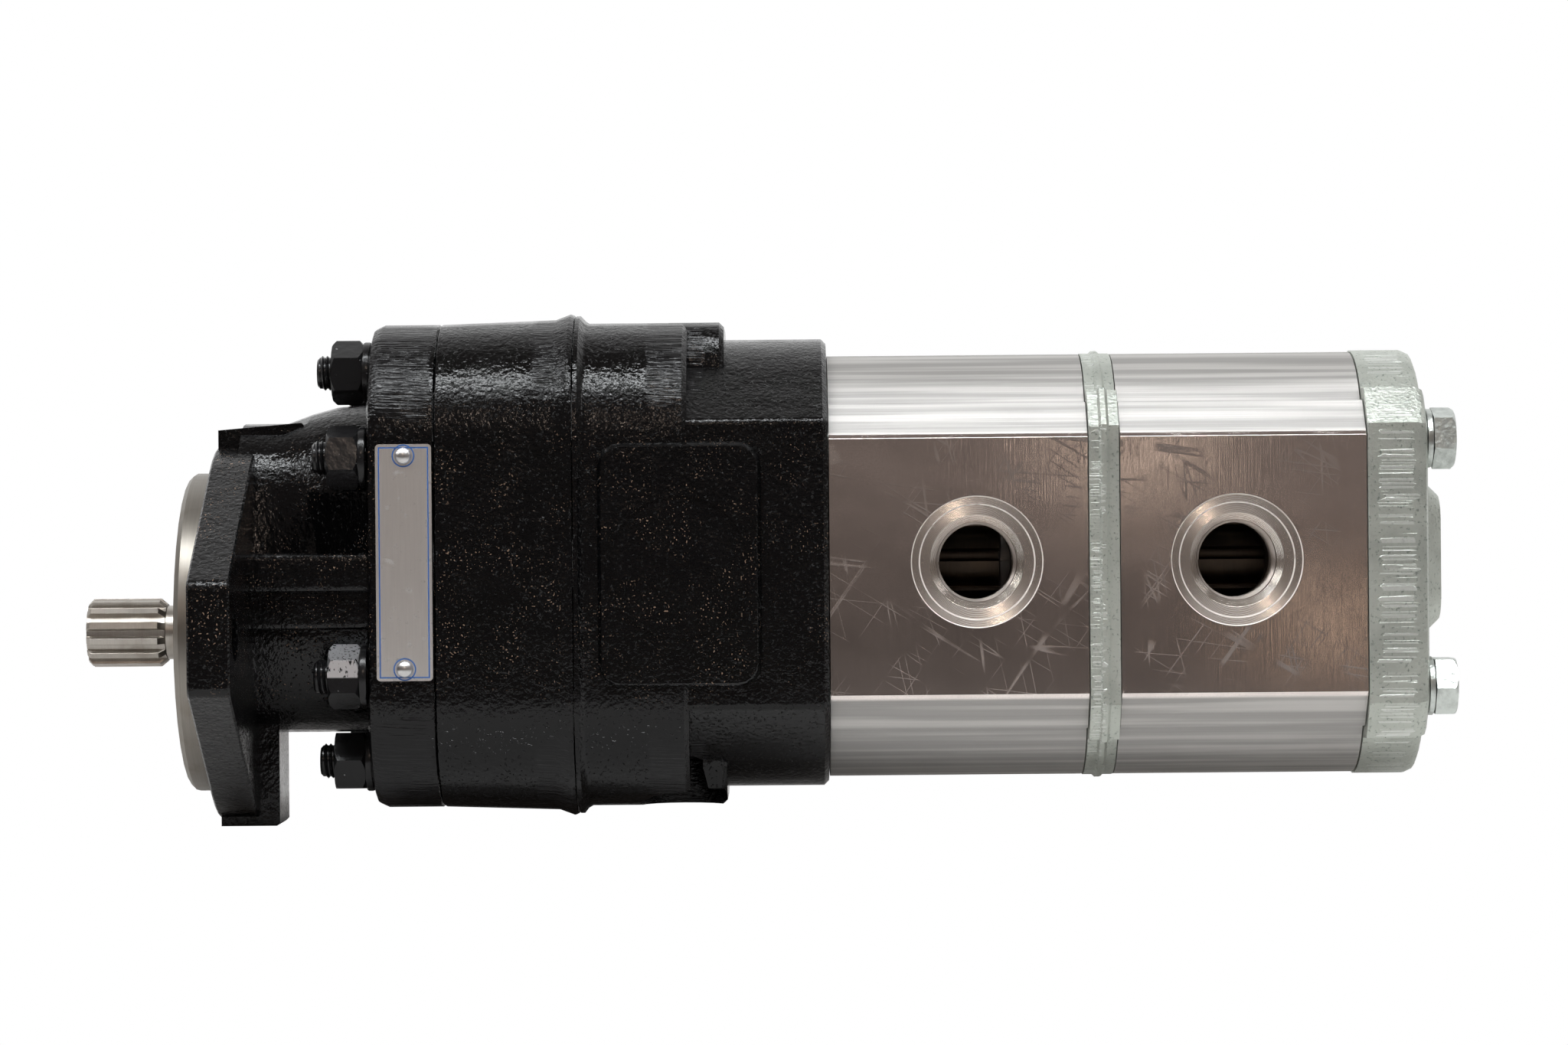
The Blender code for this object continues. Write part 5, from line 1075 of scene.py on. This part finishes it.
@dataclass
class Studio:
    """Floor, world, lamps and the camera that took the photograph."""

    floor_height: float = -0.0618
    floor_size: float = 14.0
    dark_before: float = -0.36
    pale_behind: float = -0.14
    dark_floor: Colour = (0.09, 0.08, 0.075)
    pale_floor: Colour = (0.72, 0.71, 0.70)
    room: Colour = (0.155, 0.130, 0.118)
    room_fade: tuple[float, float] = (-0.1, 0.7)
    lens: float = 99.5
    sensor_width: float = 36.0
    camera_place: Triple = (0.2225, -1.389, 0.0335)
    camera_roll_deg: float = -0.5

    def build(self) -> None:
        """Set up everything round the pump."""
        self.floor()
        self.world()
        for lamp in LAMPS:
            lamp.hang()
        self.camera()
        bpy.context.scene.view_settings.view_transform = "Standard"

    @staticmethod
    def fade(tree: bpy.types.NodeTree, coordinates: str, low: float, high: float,
             colours: tuple[Colour, Colour]) -> bpy.types.NodeSocket:
        """Return a soft change from one colour to another, from front to back.

        Args:
            tree: Node tree that it is part of.
            coordinates: Kind of coordinates.
            low: Where the first colour ends.
            high: Where the second colour begins.
            colours: The two colours.

        Returns:
            The colour output.
        """
        place = tree.nodes.new("ShaderNodeTexCoord")
        axes = tree.nodes.new("ShaderNodeSeparateXYZ")
        ramp = tree.nodes.new("ShaderNodeMapRange")
        ramp.interpolation_type = "SMOOTHSTEP"
        ramp.inputs[1].default_value = low
        ramp.inputs[2].default_value = high
        shade = tree.nodes.new("ShaderNodeMix")
        shade.data_type = "RGBA"
        for socket, colour in zip(shade.inputs[6:8], colours):
            socket.default_value = (*colour, 1.0)
        tree.links.new(place.outputs[coordinates], axes.inputs[0])
        tree.links.new(axes.outputs["Y"], ramp.inputs[0])
        tree.links.new(ramp.outputs[0], shade.inputs[0])
        return shade.outputs[2]

    def floor(self) -> None:
        """Lay a floor as clean as the background, pale under the pump and dark before it."""
        bpy.ops.object.select_all(action="DESELECT")
        bpy.ops.mesh.primitive_plane_add(
            size=self.floor_size, location=(0.2, 0.0, self.floor_height))
        floor = bpy.context.active_object
        floor.name = "floor"
        material = bpy.data.materials.new("white_floor")
        material.use_nodes = True
        tree = material.node_tree
        tree.nodes.clear()
        output = tree.nodes.new("ShaderNodeOutputMaterial")
        diffuse = tree.nodes.new("ShaderNodeBsdfDiffuse")
        glow = tree.nodes.new("ShaderNodeEmission")
        glow.inputs["Strength"].default_value = 1.0
        path = tree.nodes.new("ShaderNodeLightPath")
        seen = tree.nodes.new("ShaderNodeMixShader")
        shade = self.fade(tree, "Object", self.dark_before, self.pale_behind,
                          (self.dark_floor, self.pale_floor))
        tree.links.new(shade, diffuse.inputs["Color"])
        tree.links.new(path.outputs["Is Camera Ray"], seen.inputs[0])
        tree.links.new(diffuse.outputs[0], seen.inputs[1])
        tree.links.new(glow.outputs[0], seen.inputs[2])
        tree.links.new(seen.outputs[0], output.inputs["Surface"])
        floor.data.materials.append(material)

    def world(self) -> None:
        """Make the background white, and the room in front of the pump dim and warm."""
        world = bpy.data.worlds.new("studio")
        bpy.context.scene.world = world
        world.use_nodes = True
        tree = world.node_tree
        background = tree.nodes["Background"]
        background.inputs["Strength"].default_value = 1.0
        path = tree.nodes.new("ShaderNodeLightPath")
        seen = tree.nodes.new("ShaderNodeMix")
        seen.data_type = "RGBA"
        seen.inputs[7].default_value = (*WHITE, 1.0)
        room = self.fade(tree, "Generated", *self.room_fade, (self.room, WHITE))
        tree.links.new(path.outputs["Is Camera Ray"], seen.inputs[0])
        tree.links.new(room, seen.inputs[6])
        tree.links.new(seen.outputs[2], background.inputs["Color"])

    def camera(self) -> None:
        """Place the camera, level and square to the side of the pump, with its slight roll."""
        data = bpy.data.cameras.new("camera")
        data.lens = self.lens
        data.sensor_width = self.sensor_width
        camera = bpy.data.objects.new("camera", data)
        bpy.context.scene.collection.objects.link(camera)
        camera.rotation_mode = "XYZ"
        camera.location = self.camera_place
        camera.rotation_euler = (math.radians(90.0), 0.0, 0.0)
        camera.rotation_euler.rotate_axis("Z", math.radians(self.camera_roll_deg))
        bpy.context.scene.camera = camera


def dressings() -> list[Dressing]:
    """List how each group of nodes is taken over."""
    gears = ("front_driven_gear", "drive_gear_2", "driven_gear_2", "drive_gear_3",
             "driven_gear_3", "coupling_1", "coupling_2")
    bearings = ("front_thrust_plate", "rear_thrust_plate", "front_drive_bush",
                "front_driven_bush", "rear_drive_bush", "rear_driven_bush")
    blocks = ("front_bearing_block_2", "rear_bearing_block_2", "front_bearing_block_3",
              "rear_bearing_block_3")
    seals = ("shaft_seal", "housing_front_seal", "housing_rear_seal", "body_1_front_seal",
             "body_1_rear_seal", "body_2_front_seal", "body_2_rear_seal")
    pilot = CastPaint(
        name="black_paint_and_bare_pilot", bare_up_to=PLACES.flange_face - 0.0001)
    spacer = PlatedCasting(name="plated_spacer", row=(0.3180, 0.3215))
    gear_steel = GroundSteel(name="gear_steel", colour=(0.16, 0.135, 0.11), oil=0.6)
    spring = PlainFinish("spring_steel", (0.10, 0.10, 0.105), 0.3, 1.0)
    rivet = PlainFinish("rivet_aluminium", (0.72, 0.71, 0.70), 0.25, 1.0)
    bronze = PlainFinish("bearing_bronze", (0.45, 0.30, 0.14), 0.35, 1.0)
    rubber = PlainFinish("seal_rubber", (0.018, 0.018, 0.018), 0.62, 0.0)
    block = PlainFinish("block_aluminium", (0.56, 0.55, 0.53), 0.36, 1.0)
    return [
        Dressing(("front_cover",), pilot, "black_cast_iron", 0.0005),
        Dressing(("gear_housing", "rear_cover"), CastPaint(), "black_cast_iron", 0.0005),
        Dressing(("body_1", "body_2"), Extrusion(), "extruded_aluminium", 0.0003),
        Dressing(("spacer_plate",), spacer, "plated_casting", 0.0003),
        Dressing(("end_cover",), PlatedCasting(), "plated_casting", 0.0005),
        Dressing(("drive_shaft",), GroundSteel(), "ground_steel", 0.00018, 1),
        Dressing(gears, gear_steel, "ground_steel"),
        Dressing(("seal_retaining_ring",), spring, "ground_steel"),
        Dressing(("data_plate",), PrintedSheet(), "plate_aluminium"),
        Dressing(("data_plate_rivet_1", "data_plate_rivet_2"), rivet, "plate_aluminium"),
        Dressing(bearings, bronze, "bearing_bronze"),
        Dressing(blocks, block, "extruded_aluminium"),
        Dressing(seals, rubber, "seal_rubber"),
    ]


def main() -> None:
    """Build the looks in order."""
    logging.basicConfig(level=logging.INFO, format="%(name)s: %(message)s")
    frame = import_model()
    TakenOver(frame, dressings()).build()
    StudSet().build()
    TieBolts().build()
    PortThreads().build()
    Studio().build()


if __name__ == "__main__":
    main()
